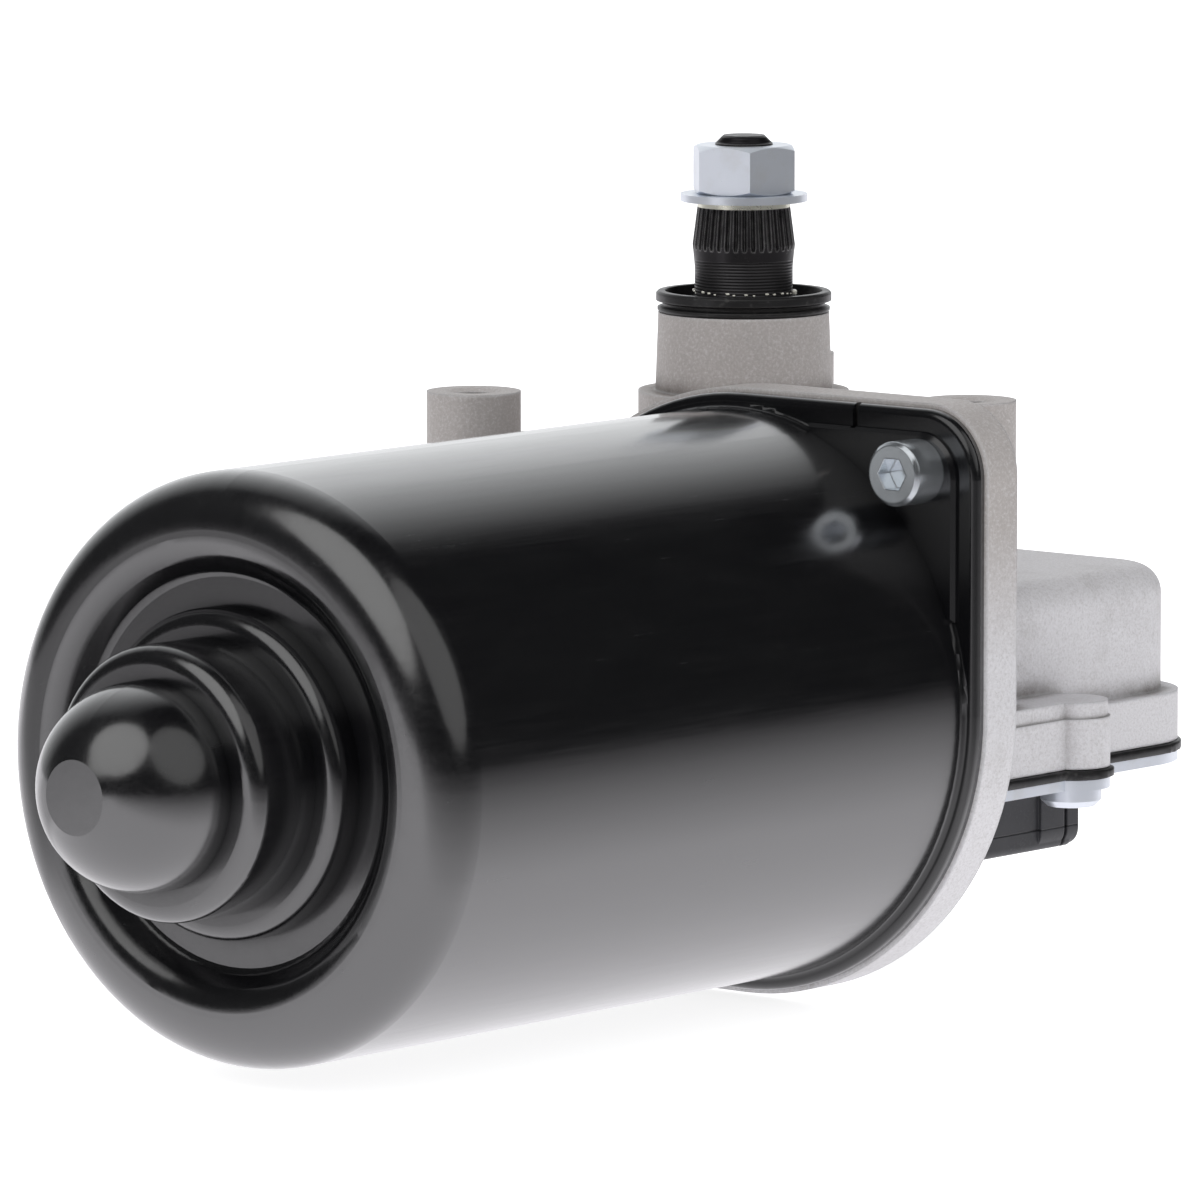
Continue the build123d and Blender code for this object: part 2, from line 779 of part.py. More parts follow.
wheel_web = 4.0
hub_radius = shaft_radius + 4.5
rim_inner = wheel_root - 2.6
with BuildPart() as worm_wheel:
    with BuildSketch(level(wheel_low_z)):
        Circle(wheel_tip)
    extrude(amount=wheel_face)
    with BuildSketch(level(wheel_high_z - 0.01)):
        Circle(hub_radius)
    extrude(amount=wheel_hub_z - wheel_high_z)
    with BuildSketch(level(wheel_high_z)):
        Circle(rim_inner)
        Circle(hub_radius, mode=Mode.SUBTRACT)
    extrude(amount=-(wheel_face - wheel_web), mode=Mode.SUBTRACT)
    with BuildSketch(level(wheel_low_z)):
        Circle(shaft_radius + 0.01)
    extrude(amount=wheel_face + 4.0, mode=Mode.SUBTRACT)
    with PolarLocations(0, wheel_teeth):
        add(tooth_gap.part, mode=Mode.SUBTRACT)
    # stiffening ribs between hub and rim
    with PolarLocations((hub_radius + rim_inner) / 2, 6):
        with Locations((0, 0, wheel_low_z + wheel_web)):
            Box(
                rim_inner - hub_radius + 1.0, 1.6, wheel_face - wheel_web - 1.5,
                align=(Align.CENTER, Align.CENTER, Align.MIN),
            )
finish(worm_wheel, "worm_wheel")

contact_outer = 19.0
contact_inner = 10.5
with BuildPart() as contact_disc:
    with BuildSketch(level(wheel_low_z)):
        Circle(contact_outer)
        Circle(contact_inner, mode=Mode.SUBTRACT)
        with Locations((-(contact_outer + 15.5) / 2, 0)):
            Rectangle(contact_outer - 14.5, 7.0, mode=Mode.SUBTRACT)
    extrude(amount=-0.7)
finish(contact_disc, "contact_disc")

with BuildPart() as wheel_circlip:
    with BuildSketch(level(wheel_low_z - 0.05)):
        Circle(shaft_radius + 2.2)
        Circle(shaft_radius + 0.02, mode=Mode.SUBTRACT)
        with Locations((0, shaft_radius + 2.2)):
            Rectangle(3.0, 2 * shaft_radius, mode=Mode.SUBTRACT)
    extrude(amount=-1.2)
finish(wheel_circlip, "wheel_circlip")


# ---------------------------------------------------------------- armature
def along(profile, name):
    """A piece turned about the motor axis from a half section of (x, radius) points."""
    with BuildPart() as piece:
        with BuildSketch(motor_section):
            Polygon(*profile, align=None)
        revolve(axis=motor_line)
    finish(piece, name)
    return piece


shaft_nose_x = dome_centre_x - 5.0
shaft_end_x = tunnel_end_x - 1.0
with BuildPart() as motor_shaft:
    with BuildSketch(motor_section):
        Polygon(
            (shaft_nose_x, 0),
            (shaft_nose_x, motor_shaft_radius - 0.5),
            (shaft_nose_x + 0.5, motor_shaft_radius),
            (-worm_length / 2 - 2.0, motor_shaft_radius),
            (-worm_length / 2, worm_root),
            (worm_length / 2, worm_root),
            (worm_length / 2 + 1.0, motor_shaft_radius),
            (shaft_end_x - 0.5, motor_shaft_radius),
            (shaft_end_x, motor_shaft_radius - 0.5),
            (shaft_end_x, 0),
            align=None,
        )
    revolve(axis=motor_line)
    # one start, cut so that a thread meets the wheel's gap at x = 0 on the +Y side
    turns = int(worm_length / worm_pitch)
    thread_low_x = -(turns // 2 + 0.75) * worm_pitch
    thread_half = worm_pitch / 4 - tooth_play / 2
    flank = tan(radians(pressure_angle))
    root_half = thread_half + 1.35 * gear_module * flank
    tip_half = thread_half - gear_module * flank
    helix = Helix(
        worm_pitch, turns * worm_pitch, worm_pitch_radius,
        center=(thread_low_x, -centre_distance, -axis_drop), direction=(1, 0, 0),
    )
    start = helix @ 0
    out = Vector(0, start.Y + centre_distance, start.Z + axis_drop).normalized()
    with BuildSketch(Plane(origin=start, x_dir=out, z_dir=helix % 0)) as thread_profile:
        Polygon(
            (-1.35 * gear_module, -root_half),
            (gear_module, -tip_half),
            (gear_module, tip_half),
            (-1.35 * gear_module, root_half),
            align=None,
        )
    sweep(sections=thread_profile.sketch, path=helix, is_frenet=True)
finish(motor_shaft, "motor_shaft")

core_low_x = core_centre_x - core_length / 2
core_high_x = core_centre_x + core_length / 2
magnet_outer = can_inner - 0.05
magnet_inner = magnet_outer - magnet_thickness
core_radius = magnet_inner - air_gap
slot_radius_out = core_radius - tooth_tip
slot_radius_in = slot_radius_out - slot_depth


def slots(grow):
    """The armature's closed slots, without their mouths."""
    with BuildSketch() as plan:
        with PolarLocations((slot_radius_in + slot_radius_out) / 2, armature_slots):
            Rectangle(slot_radius_out - slot_radius_in + 2 * grow, slot_width + 2 * grow)
    return plan.sketch


with BuildPart() as armature_core:
    with BuildSketch(across(core_low_x)):
        Circle(core_radius)
        Circle(motor_shaft_radius + 0.01, mode=Mode.SUBTRACT)
        add(slots(0.0), mode=Mode.SUBTRACT)
        with PolarLocations(core_radius, armature_slots):
            Rectangle(6.0, slot_mouth, mode=Mode.SUBTRACT)
    extrude(amount=core_length)
finish(armature_core, "armature_core")

with BuildPart() as armature_windings:
    with BuildSketch(across(core_low_x - 0.3)):
        add(slots(-0.15))
    extrude(amount=core_length + 0.6)
    for face_x, way in ((core_low_x - 0.2, -1), (core_high_x + 0.2, 1)):
        with BuildSketch(motor_section):
            Polygon(
                (face_x, slot_radius_in - 4.0),
                (face_x, slot_radius_out + 0.2),
                (face_x + way * end_turn_length * 0.6, slot_radius_out - 0.6),
                (face_x + way * end_turn_length, slot_radius_out - 5.0),
                (face_x + way * end_turn_length, slot_radius_in - 4.0),
                align=None,
            )
        revolve(axis=motor_line)
finish(armature_windings, "armature_windings")

brush_plate_x = can_flange_back_x - brush_plate_thickness
brush_x = brush_plate_x - holder_wall - holder_play - brush_depth / 2
commutator_low_x = brush_x - commutator_length / 2 - 1.0
commutator_high_x = commutator_low_x + commutator_length
hub_inner = motor_shaft_radius + 0.01
bar_depth = 3.0

along(
    (
        (commutator_low_x, hub_inner),
        (commutator_low_x, commutator_radius - bar_depth - 0.02),
        (commutator_high_x, commutator_radius - bar_depth - 0.02),
        (commutator_high_x, hub_inner),
    ),
    "commutator_hub",
)
with BuildPart() as commutator:
    with BuildSketch(motor_section):
        Polygon(
            (commutator_low_x, commutator_radius - bar_depth),
            (commutator_low_x, commutator_radius + commutator_riser),
            (commutator_low_x + commutator_riser, commutator_radius + commutator_riser),
            (commutator_low_x + commutator_riser, commutator_radius),
            (commutator_high_x, commutator_radius),
            (commutator_high_x, commutator_radius - bar_depth),
            align=None,
        )
    revolve(axis=motor_line)
    with BuildSketch(across(commutator_low_x - 0.1)):
        with PolarLocations(commutator_radius + 1.0, commutator_bars):
            Rectangle(2 * commutator_riser, commutator_cut)
    extrude(amount=commutator_length + 0.2, mode=Mode.SUBTRACT)
finish(commutator, "commutator")

spacer_radius = motor_shaft_radius + 2.0
for name, low_x, high_x in (
    ("nose_spacer", nose_ring_x + 2.5, core_low_x - end_turn_length - 0.2),
    ("drive_spacer", commutator_high_x, can_flange_back_x),
):
    along(
        (
            (low_x, hub_inner),
            (low_x, spacer_radius),
            (high_x, spacer_radius),
            (high_x, hub_inner),
        ),
        name,
    )

# ---------------------------------------------------------------- field magnets and their clips
for name, middle in (("upper_magnet", 90.0), ("lower_magnet", 270.0)):
    with BuildPart() as magnet:
        with BuildSketch(across(core_centre_x - magnet_length / 2)):
            with BuildLine():
                first = middle - magnet_arc / 2
                outer_arc = CenterArc((0, 0), magnet_outer, first, magnet_arc)
                inner_arc = CenterArc((0, 0), magnet_inner, first, magnet_arc)
                Line(outer_arc @ 0, inner_arc @ 0)
                Line(outer_arc @ 1, inner_arc @ 1)
            make_face()
        extrude(amount=magnet_length)
    finish(magnet, name)

with BuildPart() as magnet_clips:
    leg_radius = magnet_outer - magnet_thickness / 2
    leg_angle = (180 - magnet_arc) / 2 - degrees((clip_sheet / 2 + 0.15) / leg_radius)
    with BuildSketch(across(core_centre_x - magnet_length * 0.4)):
        for side in (0.0, 180.0):
            with BuildLine():
                back = CenterArc((0, 0), magnet_outer, side - leg_angle, 2 * leg_angle)
                front = CenterArc((0, 0), magnet_outer - clip_sheet, side - leg_angle, 2 * leg_angle)
                Line(back @ 0, front @ 0)
                Line(back @ 1, front @ 1)
            make_face()
            for turn in (leg_angle, -leg_angle):
                with PolarLocations(leg_radius - 0.4, 1, start_angle=side + turn):
                    Rectangle(magnet_thickness - 0.8, clip_sheet)
    extrude(amount=magnet_length * 0.8)
finish(magnet_clips, "magnet_clips")

# ---------------------------------------------------------------- bearings and thrust parts
nose_bearing_x = nose_cup_x + can_wall + 0.1
along(
    (
        (nose_bearing_x, motor_shaft_radius + running_gap),
        (nose_bearing_x, nose_bearing_radius - 1.5),
        (nose_bearing_x + nose_bearing_length * 0.3, nose_bearing_radius),
        (nose_bearing_x + nose_bearing_length * 0.7, nose_bearing_radius),
        (nose_bearing_x + nose_bearing_length, nose_bearing_radius - 1.5),
        (nose_bearing_x + nose_bearing_length, motor_shaft_radius + running_gap),
    ),
    "nose_bearing",
)
retainer_outer = nose_cup_radius - can_wall - 0.05
along(
    (
        (nose_bearing_x + nose_bearing_length * 0.3, nose_bearing_radius + 0.05),
        (nose_bearing_x + 0.2, nose_bearing_radius + 1.6),
        (nose_bearing_x + 0.2, retainer_outer),
        (nose_bearing_x + nose_bearing_length * 0.7, retainer_outer),
        (nose_bearing_x + nose_bearing_length * 0.7, nose_bearing_radius + 0.05),
    ),
    "bearing_retainer",
)
along(
    (
        (nose_tip_x + can_wall + 0.1, 0),
        (nose_tip_x + can_wall + 0.1, 4.0),
        (shaft_nose_x - 0.1, 4.0),
        (shaft_nose_x - 0.1, 0),
    ),
    "nose_thrust_pad",
)
along(
    (
        (can_flange_back_x, motor_shaft_radius + running_gap),
        (can_flange_back_x, ball_bearing_radius),
        (can_flange_back_x + ball_bearing_width, ball_bearing_radius),
        (can_flange_back_x + ball_bearing_width, motor_shaft_radius + running_gap),
    ),
    "drive_bearing",
)
along(
    (
        (shaft_end_x - end_bush_length, motor_shaft_radius + running_gap),
        (shaft_end_x - end_bush_length, tunnel_radius - 0.02),
        (shaft_end_x, tunnel_radius - 0.02),
        (shaft_end_x, motor_shaft_radius + running_gap),
    ),
    "worm_end_bush",
)
along(
    (
        (shaft_end_x + 0.1, 0),
        (shaft_end_x + 0.1, thrust_pad_radius),
        (tunnel_end_x + thrust_screw_seat, thrust_pad_radius),
        (tunnel_end_x + thrust_screw_seat, 0),
    ),
    "worm_thrust_pad",
)
with BuildPart() as thrust_screw:
    with BuildSketch(across(tunnel_end_x + thrust_screw_seat)):
        Circle(thrust_screw_radius)
    extrude(amount=end_wall_x - tunnel_end_x - thrust_screw_seat - thrust_screw_recess)
    with BuildSketch(across(end_wall_x - thrust_screw_recess)):
        RegularPolygon(hex_socket_radius, 6)
    extrude(amount=-2.4, mode=Mode.SUBTRACT)
finish(thrust_screw, "thrust_screw")

# ---------------------------------------------------------------- brush gear
brush_low = commutator_radius + 0.05
holder_low = commutator_radius + 1.6
holder_high = brush_low + brush_length + spring_room
plate_radius = can_inner - 0.4
with BuildPart() as brush_plate:
    with BuildSketch(across(brush_plate_x)):
        Circle(plate_radius)
        Circle(commutator_radius + 1.2, mode=Mode.SUBTRACT)
    extrude(amount=brush_plate_thickness)
finish(brush_plate, "brush_plate")

with BuildPart() as brush_holders:
    for angle in brush_angles:
        spoke = Plane(
            origin=(brush_x, -centre_distance, -axis_drop), x_dir=(1, 0, 0),
            z_dir=(0, cos(radians(angle)), sin(radians(angle))),
        )
        outer_x = brush_depth + 2 * (holder_play + holder_wall)
        outer_w = brush_width + 2 * (holder_play + holder_wall)
        with BuildSketch(spoke.offset(holder_low)):
            Rectangle(outer_x, outer_w)
            Rectangle(outer_x - 2 * holder_wall, outer_w - 2 * holder_wall, mode=Mode.SUBTRACT)
        extrude(amount=holder_high - holder_low)
        with BuildSketch(spoke.offset(holder_high)):
            Rectangle(outer_x, outer_w)
        extrude(amount=holder_wall)
finish(brush_holders, "brush_holders")

for number, angle in enumerate(brush_angles, start=1):
    spoke = Plane(
        origin=(brush_x, -centre_distance, -axis_drop), x_dir=(1, 0, 0),
        z_dir=(0, cos(radians(angle)), sin(radians(angle))),
    )
    with BuildPart() as brush:
        with BuildSketch(spoke.offset(brush_low)):
            Rectangle(brush_depth, brush_width)
        extrude(amount=brush_length)
        chamfer(brush.faces().sort_by(Axis(spoke.origin, spoke.z_dir))[-1].edges(), 0.5)
        with BuildPart(mode=Mode.SUBTRACT):
            with BuildSketch(across(brush_x - brush_depth)):
                Circle(commutator_radius + 0.04)
            extrude(amount=2 * brush_depth)
    finish(brush, f"brush_{number}")
    # coil spring between the brush and its holder's cap
    spring_low = brush_low + brush_length
    spring_span = holder_high - spring_low - spring_wire - 0.1
    coil = Helix(
        spring_span / spring_turns, spring_span, spring_radius,
        center=spoke.offset(spring_low + spring_wire / 2 + 0.05).origin, direction=spoke.z_dir,
    )
    with BuildPart() as spring:
        with BuildSketch(Plane(origin=coil @ 0, x_dir=spoke.z_dir, z_dir=coil % 0)):
            Rectangle(spring_wire, spring_wire)
        sweep(path=coil, is_frenet=True)
    finish(spring, f"brush_spring_{number}")

# ---------------------------------------------------------------- park contacts and connector
contact_plate_thickness = 2.0
with BuildPart() as contact_plate:
    with BuildSketch(level(gasket_z)):
        Circle(chamber_radius - 0.5)
    extrude(amount=contact_plate_thickness)
    with BuildSketch(level(gasket_z)):
        with Locations(neck_middle):
            Rectangle(neck_length + 2 * neck_play, neck_width + 2 * neck_play)
    extrude(amount=contact_plate_thickness, mode=Mode.SUBTRACT)
finish(contact_plate, "contact_plate")

finger_top_z = wheel_low_z - 0.7 - 0.05
finger_low_z = gasket_z + contact_plate_thickness
finger_radii = (12.0, 14.8, 17.6)
with BuildPart() as contact_fingers:
    for radius in finger_radii:
        with BuildSketch(Plane.XZ.offset(-radius + 0.8)):
            Polygon(
                (4.0, finger_low_z),
                (9.0, finger_low_z),
                (9.0, finger_low_z + 0.5),
                (6.0, finger_low_z + 0.5),
                (-1.0, finger_top_z - 0.5),
                (-2.5, finger_top_z),
                (-4.0, finger_top_z - 0.5),
                (-2.5, finger_top_z - 0.5),
                (-1.3, finger_top_z - 1.0),
                align=None,
            )
        extrude(amount=-1.6)
finish(contact_fingers, "contact_fingers")

connector_low_z = cover_z - connector_height
socket_low_x = connector_mouth_x - connector_cavity
with BuildPart() as connector_housing:
    with BuildSketch(level(connector_low_z)):
        with Locations(
            ((connector_low_x + connector_mouth_x) / 2, (connector_near_y + connector_far_y) / 2)
        ):
            Rectangle(connector_mouth_x - connector_low_x, connector_far_y - connector_near_y)
    extrude(amount=connector_height)
    fillet(connector_housing.edges().filter_by(Axis.Z), 1.5)
    fillet(connector_housing.faces().sort_by(Axis.Z)[0].edges(), 1.0)
    # rounded collar round the socket's mouth
    collar_round = 2.4
    collar_width = connector_far_y - connector_near_y + 2 * collar_proud
    collar_depth = connector_height - 0.5
    collar_middle = ((connector_near_y + connector_far_y) / 2, cover_z - connector_height / 2 - 0.2)
    with BuildSketch(Plane.YZ.offset(connector_mouth_x - collar_length)):
        with Locations(collar_middle):
            RectangleRounded(collar_width, collar_depth, collar_round)
    extrude(amount=collar_length)
    with BuildSketch(Plane.YZ.offset(connector_mouth_x - collar_groove_x)):
        with Locations(collar_middle):
            Rectangle(2 * collar_width, 2 * collar_depth)
            RectangleRounded(
                collar_width - 2 * collar_groove, collar_depth - 2 * collar_groove,
                collar_round - collar_groove, mode=Mode.SUBTRACT,
            )
    extrude(amount=-collar_groove, mode=Mode.SUBTRACT)
    # socket
    with BuildSketch(Plane.YZ.offset(socket_low_x)):
        with Locations(((connector_near_y + connector_far_y) / 2, cover_z - connector_height / 2)):
            RectangleRounded(
                connector_far_y - connector_near_y - 2 * connector_wall,
                connector_height - 2 * connector_wall, 1.0,
            )
    extrude(amount=connector_cavity + 0.1, mode=Mode.SUBTRACT)
    # neck through the cover
    with BuildSketch(level(cover_z)):
        with Locations(neck_middle):
            Rectangle(neck_length, neck_width)
    extrude(amount=cover_thickness + contact_plate_thickness)
    # slots for the blades
    blade_pitch = (connector_far_y - connector_near_y - 2 * connector_wall) / blade_count
    blade_z = cover_z - connector_height / 2
    blade_middle_y = (connector_near_y + connector_far_y) / 2
    with BuildSketch(Plane.YZ.offset(socket_low_x)):
        with Locations((blade_middle_y, blade_z)):
            with GridLocations(blade_pitch, 1, blade_count, 1):
                Rectangle(blade_width + 0.06, blade_thickness + 0.06)
    extrude(amount=-8.0, mode=Mode.SUBTRACT)
finish(connector_housing, "connector_housing")

with BuildPart() as connector_blades:
    with BuildSketch(Plane.YZ.offset(socket_low_x - 7.9)):
        with Locations((blade_middle_y, blade_z)):
            with GridLocations(blade_pitch, 1, blade_count, 1):
                Rectangle(blade_width, blade_thickness)
    extrude(amount=7.9 + connector_cavity - blade_recess)
finish(connector_blades, "connector_blades")
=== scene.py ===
# Looks, camera and light for the two-speed wiper motor. Metres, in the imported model's own frame:
# origin on the output shaft's axis at the mounting-boss tops, +Z up, +X from the nose to the gearbox end.
import json
import math

import bpy
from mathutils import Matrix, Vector

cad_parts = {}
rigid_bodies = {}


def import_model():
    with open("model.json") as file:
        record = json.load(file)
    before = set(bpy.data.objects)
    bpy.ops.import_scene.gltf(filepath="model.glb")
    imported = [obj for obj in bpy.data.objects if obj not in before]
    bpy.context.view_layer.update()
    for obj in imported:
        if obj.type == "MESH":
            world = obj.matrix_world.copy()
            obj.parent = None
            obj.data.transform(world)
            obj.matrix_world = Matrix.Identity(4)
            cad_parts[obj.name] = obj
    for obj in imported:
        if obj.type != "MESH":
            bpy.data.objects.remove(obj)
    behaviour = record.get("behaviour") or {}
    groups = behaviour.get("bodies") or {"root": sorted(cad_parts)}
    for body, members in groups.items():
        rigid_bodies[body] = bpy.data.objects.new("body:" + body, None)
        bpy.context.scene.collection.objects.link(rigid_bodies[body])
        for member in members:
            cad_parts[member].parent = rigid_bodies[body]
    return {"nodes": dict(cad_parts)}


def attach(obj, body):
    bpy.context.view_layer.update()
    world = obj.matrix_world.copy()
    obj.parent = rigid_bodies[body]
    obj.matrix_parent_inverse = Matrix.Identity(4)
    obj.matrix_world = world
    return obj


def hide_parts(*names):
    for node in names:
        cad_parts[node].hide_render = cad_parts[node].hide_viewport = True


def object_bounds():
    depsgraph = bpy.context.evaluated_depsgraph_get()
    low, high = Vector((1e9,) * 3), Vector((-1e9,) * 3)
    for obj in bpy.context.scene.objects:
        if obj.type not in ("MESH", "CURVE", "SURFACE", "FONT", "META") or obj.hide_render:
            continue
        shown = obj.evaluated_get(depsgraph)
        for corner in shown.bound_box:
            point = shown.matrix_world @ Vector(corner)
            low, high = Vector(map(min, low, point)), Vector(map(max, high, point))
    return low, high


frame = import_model()
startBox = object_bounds()
mm = 0.001
raySamples = 6  # rays cast for each rounded edge and each crease

print("materials")

# In a look, a Noise is scale, detail, roughness and distortion, a Relief is depth and strength,
# and a Ramp is where it starts and ends and what it turns these into.


# a shader node with its settings; an input is given a value or another node's socket
def addNode(tree, kind, inputs=None, **settings):
    made = tree.nodes.new("ShaderNode" + kind)
    for name, value in settings.items():
        setattr(made, name, value)
    for name, value in (inputs or {}).items():
        if isinstance(value, bpy.types.NodeSocket):
            tree.links.new(value, made.inputs[name])
        else:
            made.inputs[name].default_value = value
    return made


# a material with its node tree and its shader; values go to the shader's own sockets
def newMaterial(name, **values):
    material = bpy.data.materials.new(name)
    material.use_nodes = True
    shader = material.node_tree.nodes["Principled BSDF"]
    for socket, value in values.items():
        shader.inputs[socket.replace("_", " ")].default_value = value
    return material, material.node_tree, shader


def connect(tree, shader, **links):
    for socket, source in links.items():
        tree.links.new(source, shader.inputs[socket.replace("_", " ")])


def objectPoint(tree, stretch=(1, 1, 1)):
    coordinates = addNode(tree, "TexCoord").outputs["Object"]
    return addNode(tree, "Mapping", {"Vector": coordinates, "Scale": stretch}).outputs["Vector"]


def axisOf(tree, vector, axis):
    return addNode(tree, "SeparateXYZ", {"Vector": vector}).outputs[axis]


# noise between 0 and 1 with features about 1/scale metres across
def noise(tree, point, scale, detail, roughness, distortion=0.0):
    return addNode(tree, "TexNoise", {
        "Vector": point, "Scale": scale, "Detail": detail, "Roughness": roughness, "Distortion": distortion,
    }).outputs["Fac"]


# value from low..high mapped to toLow..toHigh, held at the ends
def ramp(tree, value, low, high, toLow=0.0, toHigh=1.0):
    return addNode(tree, "MapRange", {
        "Value": value, "From Min": low, "From Max": high, "To Min": toLow, "To Max": toHigh,
    }).outputs["Result"]


def mixColour(tree, amount, first, second):
    return addNode(tree, "Mix", {0: amount, 6: first, 7: second}, data_type="RGBA").outputs[2]


def mixValue(tree, amount, first, second):
    return addNode(tree, "Mix", {0: amount, 2: first, 3: second}).outputs[0]


def combine(tree, operation, first, second, clamp=False):
    return addNode(tree, "Math", {0: first, 1: second}, operation=operation, use_clamp=clamp).outputs[0]


# soft bands 0 to 1, one every pitch metres along an axis
def bands(tree, point, pitch, along):
    waveLength = 2 * math.pi / 20  # of a wave texture at scale 1
    return addNode(tree, "TexWave", {
        "Vector": point, "Scale": waveLength / pitch, "Distortion": 0.0,
    }, bands_direction=along).outputs["Fac"]


# a bump normal; distance is the height of the relief in metres
def bump(tree, height, distance, strength, normal=None):
    inputs = {"Height": height, "Distance": distance, "Strength": strength}
    if normal is not None:
        inputs["Normal"] = normal
    return addNode(tree, "Bump", inputs).outputs["Normal"]


# the normal with its sharp edges rounded over by radius
def roundedNormal(tree, radius):
    return addNode(tree, "Bevel", {"Radius": radius}, samples=raySamples).outputs["Normal"]


# 1 along sharp edges, fading to 0 within radius of them
def edgeAmount(tree, radius, sharpness=6.0):
    rounded = roundedNormal(tree, radius)
    flat = addNode(tree, "NewGeometry").outputs["Normal"]
    match = addNode(tree, "VectorMath", {0: rounded, 1: flat}, operation="DOT_PRODUCT").outputs["Value"]
    return combine(tree, "MULTIPLY", combine(tree, "SUBTRACT", 1.0, match), sharpness, clamp=True)


# 1 on open faces, less in the piece's own hollows and creases within reach
def openness(tree, reach):
    search = addNode(tree, "AmbientOcclusion", {"Distance": reach}, samples=raySamples, only_local=True)
    return search.outputs["AO"]


# painted steel can: satin black enamel over axial drawing marks
paintLook = {
    "colour": (0.0035, 0.0035, 0.0042, 1), "dust": (0.03, 0.029, 0.028, 1), "dustAmount": 0.12,
    "ior": 2.3, "sheenLevel": 0.5, "coat": 1.0, "coatRoughness": 0.13,
    "roughnessRamp": (0.7, 1.3, 0.14, 0.28),
    "drawnStretch": (0.02, 1, 1), "drawnNoise": (2600, 5, 0.7), "drawnRelief": (0.006 * mm, 0.5),
    "waveStretch": (0.06, 1, 1), "waveNoise": (230, 3, 0.55), "waveRelief": (0.022 * mm, 1.0),
    "scuffStretch": (0.25, 1, 1), "scuffNoise": (190, 8, 0.75, 0.6), "scuffRamp": (0.62, 0.78),
    "peelNoise": (900, 3, 0.5), "peelRelief": (0.012 * mm, 0.25),
    "hollowReach": 22 * mm, "hollowRamp": (0.35, 0.95, 0.25, 1.0),
    "flangeX": -35.4 * mm, "flangeReach": 1.3 * mm, "flangeRamp": (-0.3, -0.6), "flangeShine": 0.5,
}


def paintedSteel():
    look = paintLook
    material, tree, shader = newMaterial(
        "paintedSteel", Coat_Roughness=look["coatRoughness"], IOR=look["ior"],
    )
    drawn = noise(tree, objectPoint(tree, look["drawnStretch"]), *look["drawnNoise"])
    wave = noise(tree, objectPoint(tree, look["waveStretch"]), *look["waveNoise"])
    scuff = noise(tree, objectPoint(tree, look["scuffStretch"]), *look["scuffNoise"])
    peel = noise(tree, objectPoint(tree), *look["peelNoise"])
    dusty = combine(tree, "MULTIPLY", ramp(tree, scuff, *look["scuffRamp"]), look["dustAmount"])
    normal = bump(tree, wave, *look["waveRelief"])
    normal = bump(tree, drawn, *look["drawnRelief"], normal)
    normal = bump(tree, peel, *look["peelRelief"], normal)
    # painted shade: less sheen and coat in the dish, on the nose's steps and on the flange behind the barrel,
    # darkening their reflections
    along = axisOf(tree, objectPoint(tree), "X")
    facing = axisOf(tree, addNode(tree, "NewGeometry").outputs["Normal"], "X")
    behindBarrel = combine(tree, "GREATER_THAN", along, look["flangeX"] - look["flangeReach"])
    onFlange = combine(tree, "MULTIPLY", behindBarrel, ramp(tree, facing, *look["flangeRamp"]))
    shine = combine(
        tree, "MULTIPLY", ramp(tree, openness(tree, look["hollowReach"]), *look["hollowRamp"]),
        ramp(tree, onFlange, 0.0, 1.0, 1.0, look["flangeShine"]),
    )
    connect(
        tree, shader, Base_Color=mixColour(tree, dusty, look["colour"], look["dust"]),
        Roughness=ramp(tree, combine(tree, "ADD", drawn, scuff), *look["roughnessRamp"]), Normal=normal,
        Specular_IOR_Level=combine(tree, "MULTIPLY", shine, look["sheenLevel"]),
        Coat_Weight=combine(tree, "MULTIPLY", shine, look["coat"]),
    )
    return material


# die-cast aluminium: shot-blasted skin, with painted light and shade: lighter low down, as if lit from the
# floor, and warmer and darker up on the bosses
castLook = {
    "low": (0.66, 0.645, 0.665, 1), "lowZ": -30 * mm, "high": (0.45, 0.415, 0.40, 1), "highZ": -12 * mm,
    "metallic": 0.25, "roughnessRamp": (0.3, 0.7, 0.42, 0.62),
    "blotchNoise": (110, 6, 0.65), "stain": (0.36, 0.34, 0.33, 1), "stainRamp": (0.52, 0.78, 0, 0.45),
    "mottleNoise": (2600, 6, 0.8), "darkRamp": (0.5, 0.68, 0, 0.5), "lightRamp": (0.5, 0.34, 0, 0.4),
    "creaseReach": 3.2 * mm, "creaseRamp": (0.9, 0.58, 0, 1.0), "patchRamp": (0.35, 0.6, 0.35, 1.0),
    "creaseDirtAndShade": (0.12, 0.10, 0.085, 1),
    "edgeRadius": 0.7 * mm, "bright": (0.80, 0.80, 0.82, 1), "edgeWear": 0.35,
    "grainNoise": (2400, 4, 0.6), "grainRelief": (0.13 * mm, 0.5), "pitScale": 1500, "pitShare": 0.5,
    "waveRelief": (0.3 * mm, 0.3),
}
# the three mounting holes: their circle, and the relief of their thread
boreThread = {
    "circle": 38.8 * mm, "angles": (30, 150, 270), "reach": 2.62 * mm, "pitch": 1.0 * mm,
    "relief": (0.5 * mm, 1.0),
}


# height of the thread within reach of the holes' axes, 0 elsewhere
def threadedBores(tree, point):
    flat = addNode(tree, "CombineXYZ", {
        "X": axisOf(tree, point, "X"), "Y": axisOf(tree, point, "Y"), "Z": 0.0,
    }).outputs[0]
    inside = 0.0
    for angle in boreThread["angles"]:
        turn = math.radians(angle)
        axis = (boreThread["circle"] * math.cos(turn), boreThread["circle"] * math.sin(turn), 0)
        away = addNode(tree, "VectorMath", {0: flat, 1: axis}, operation="DISTANCE").outputs["Value"]
        inside = combine(tree, "ADD", inside, combine(tree, "LESS_THAN", away, boreThread["reach"]))
    return combine(tree, "MULTIPLY", inside, bands(tree, point, boreThread["pitch"], "Z"))


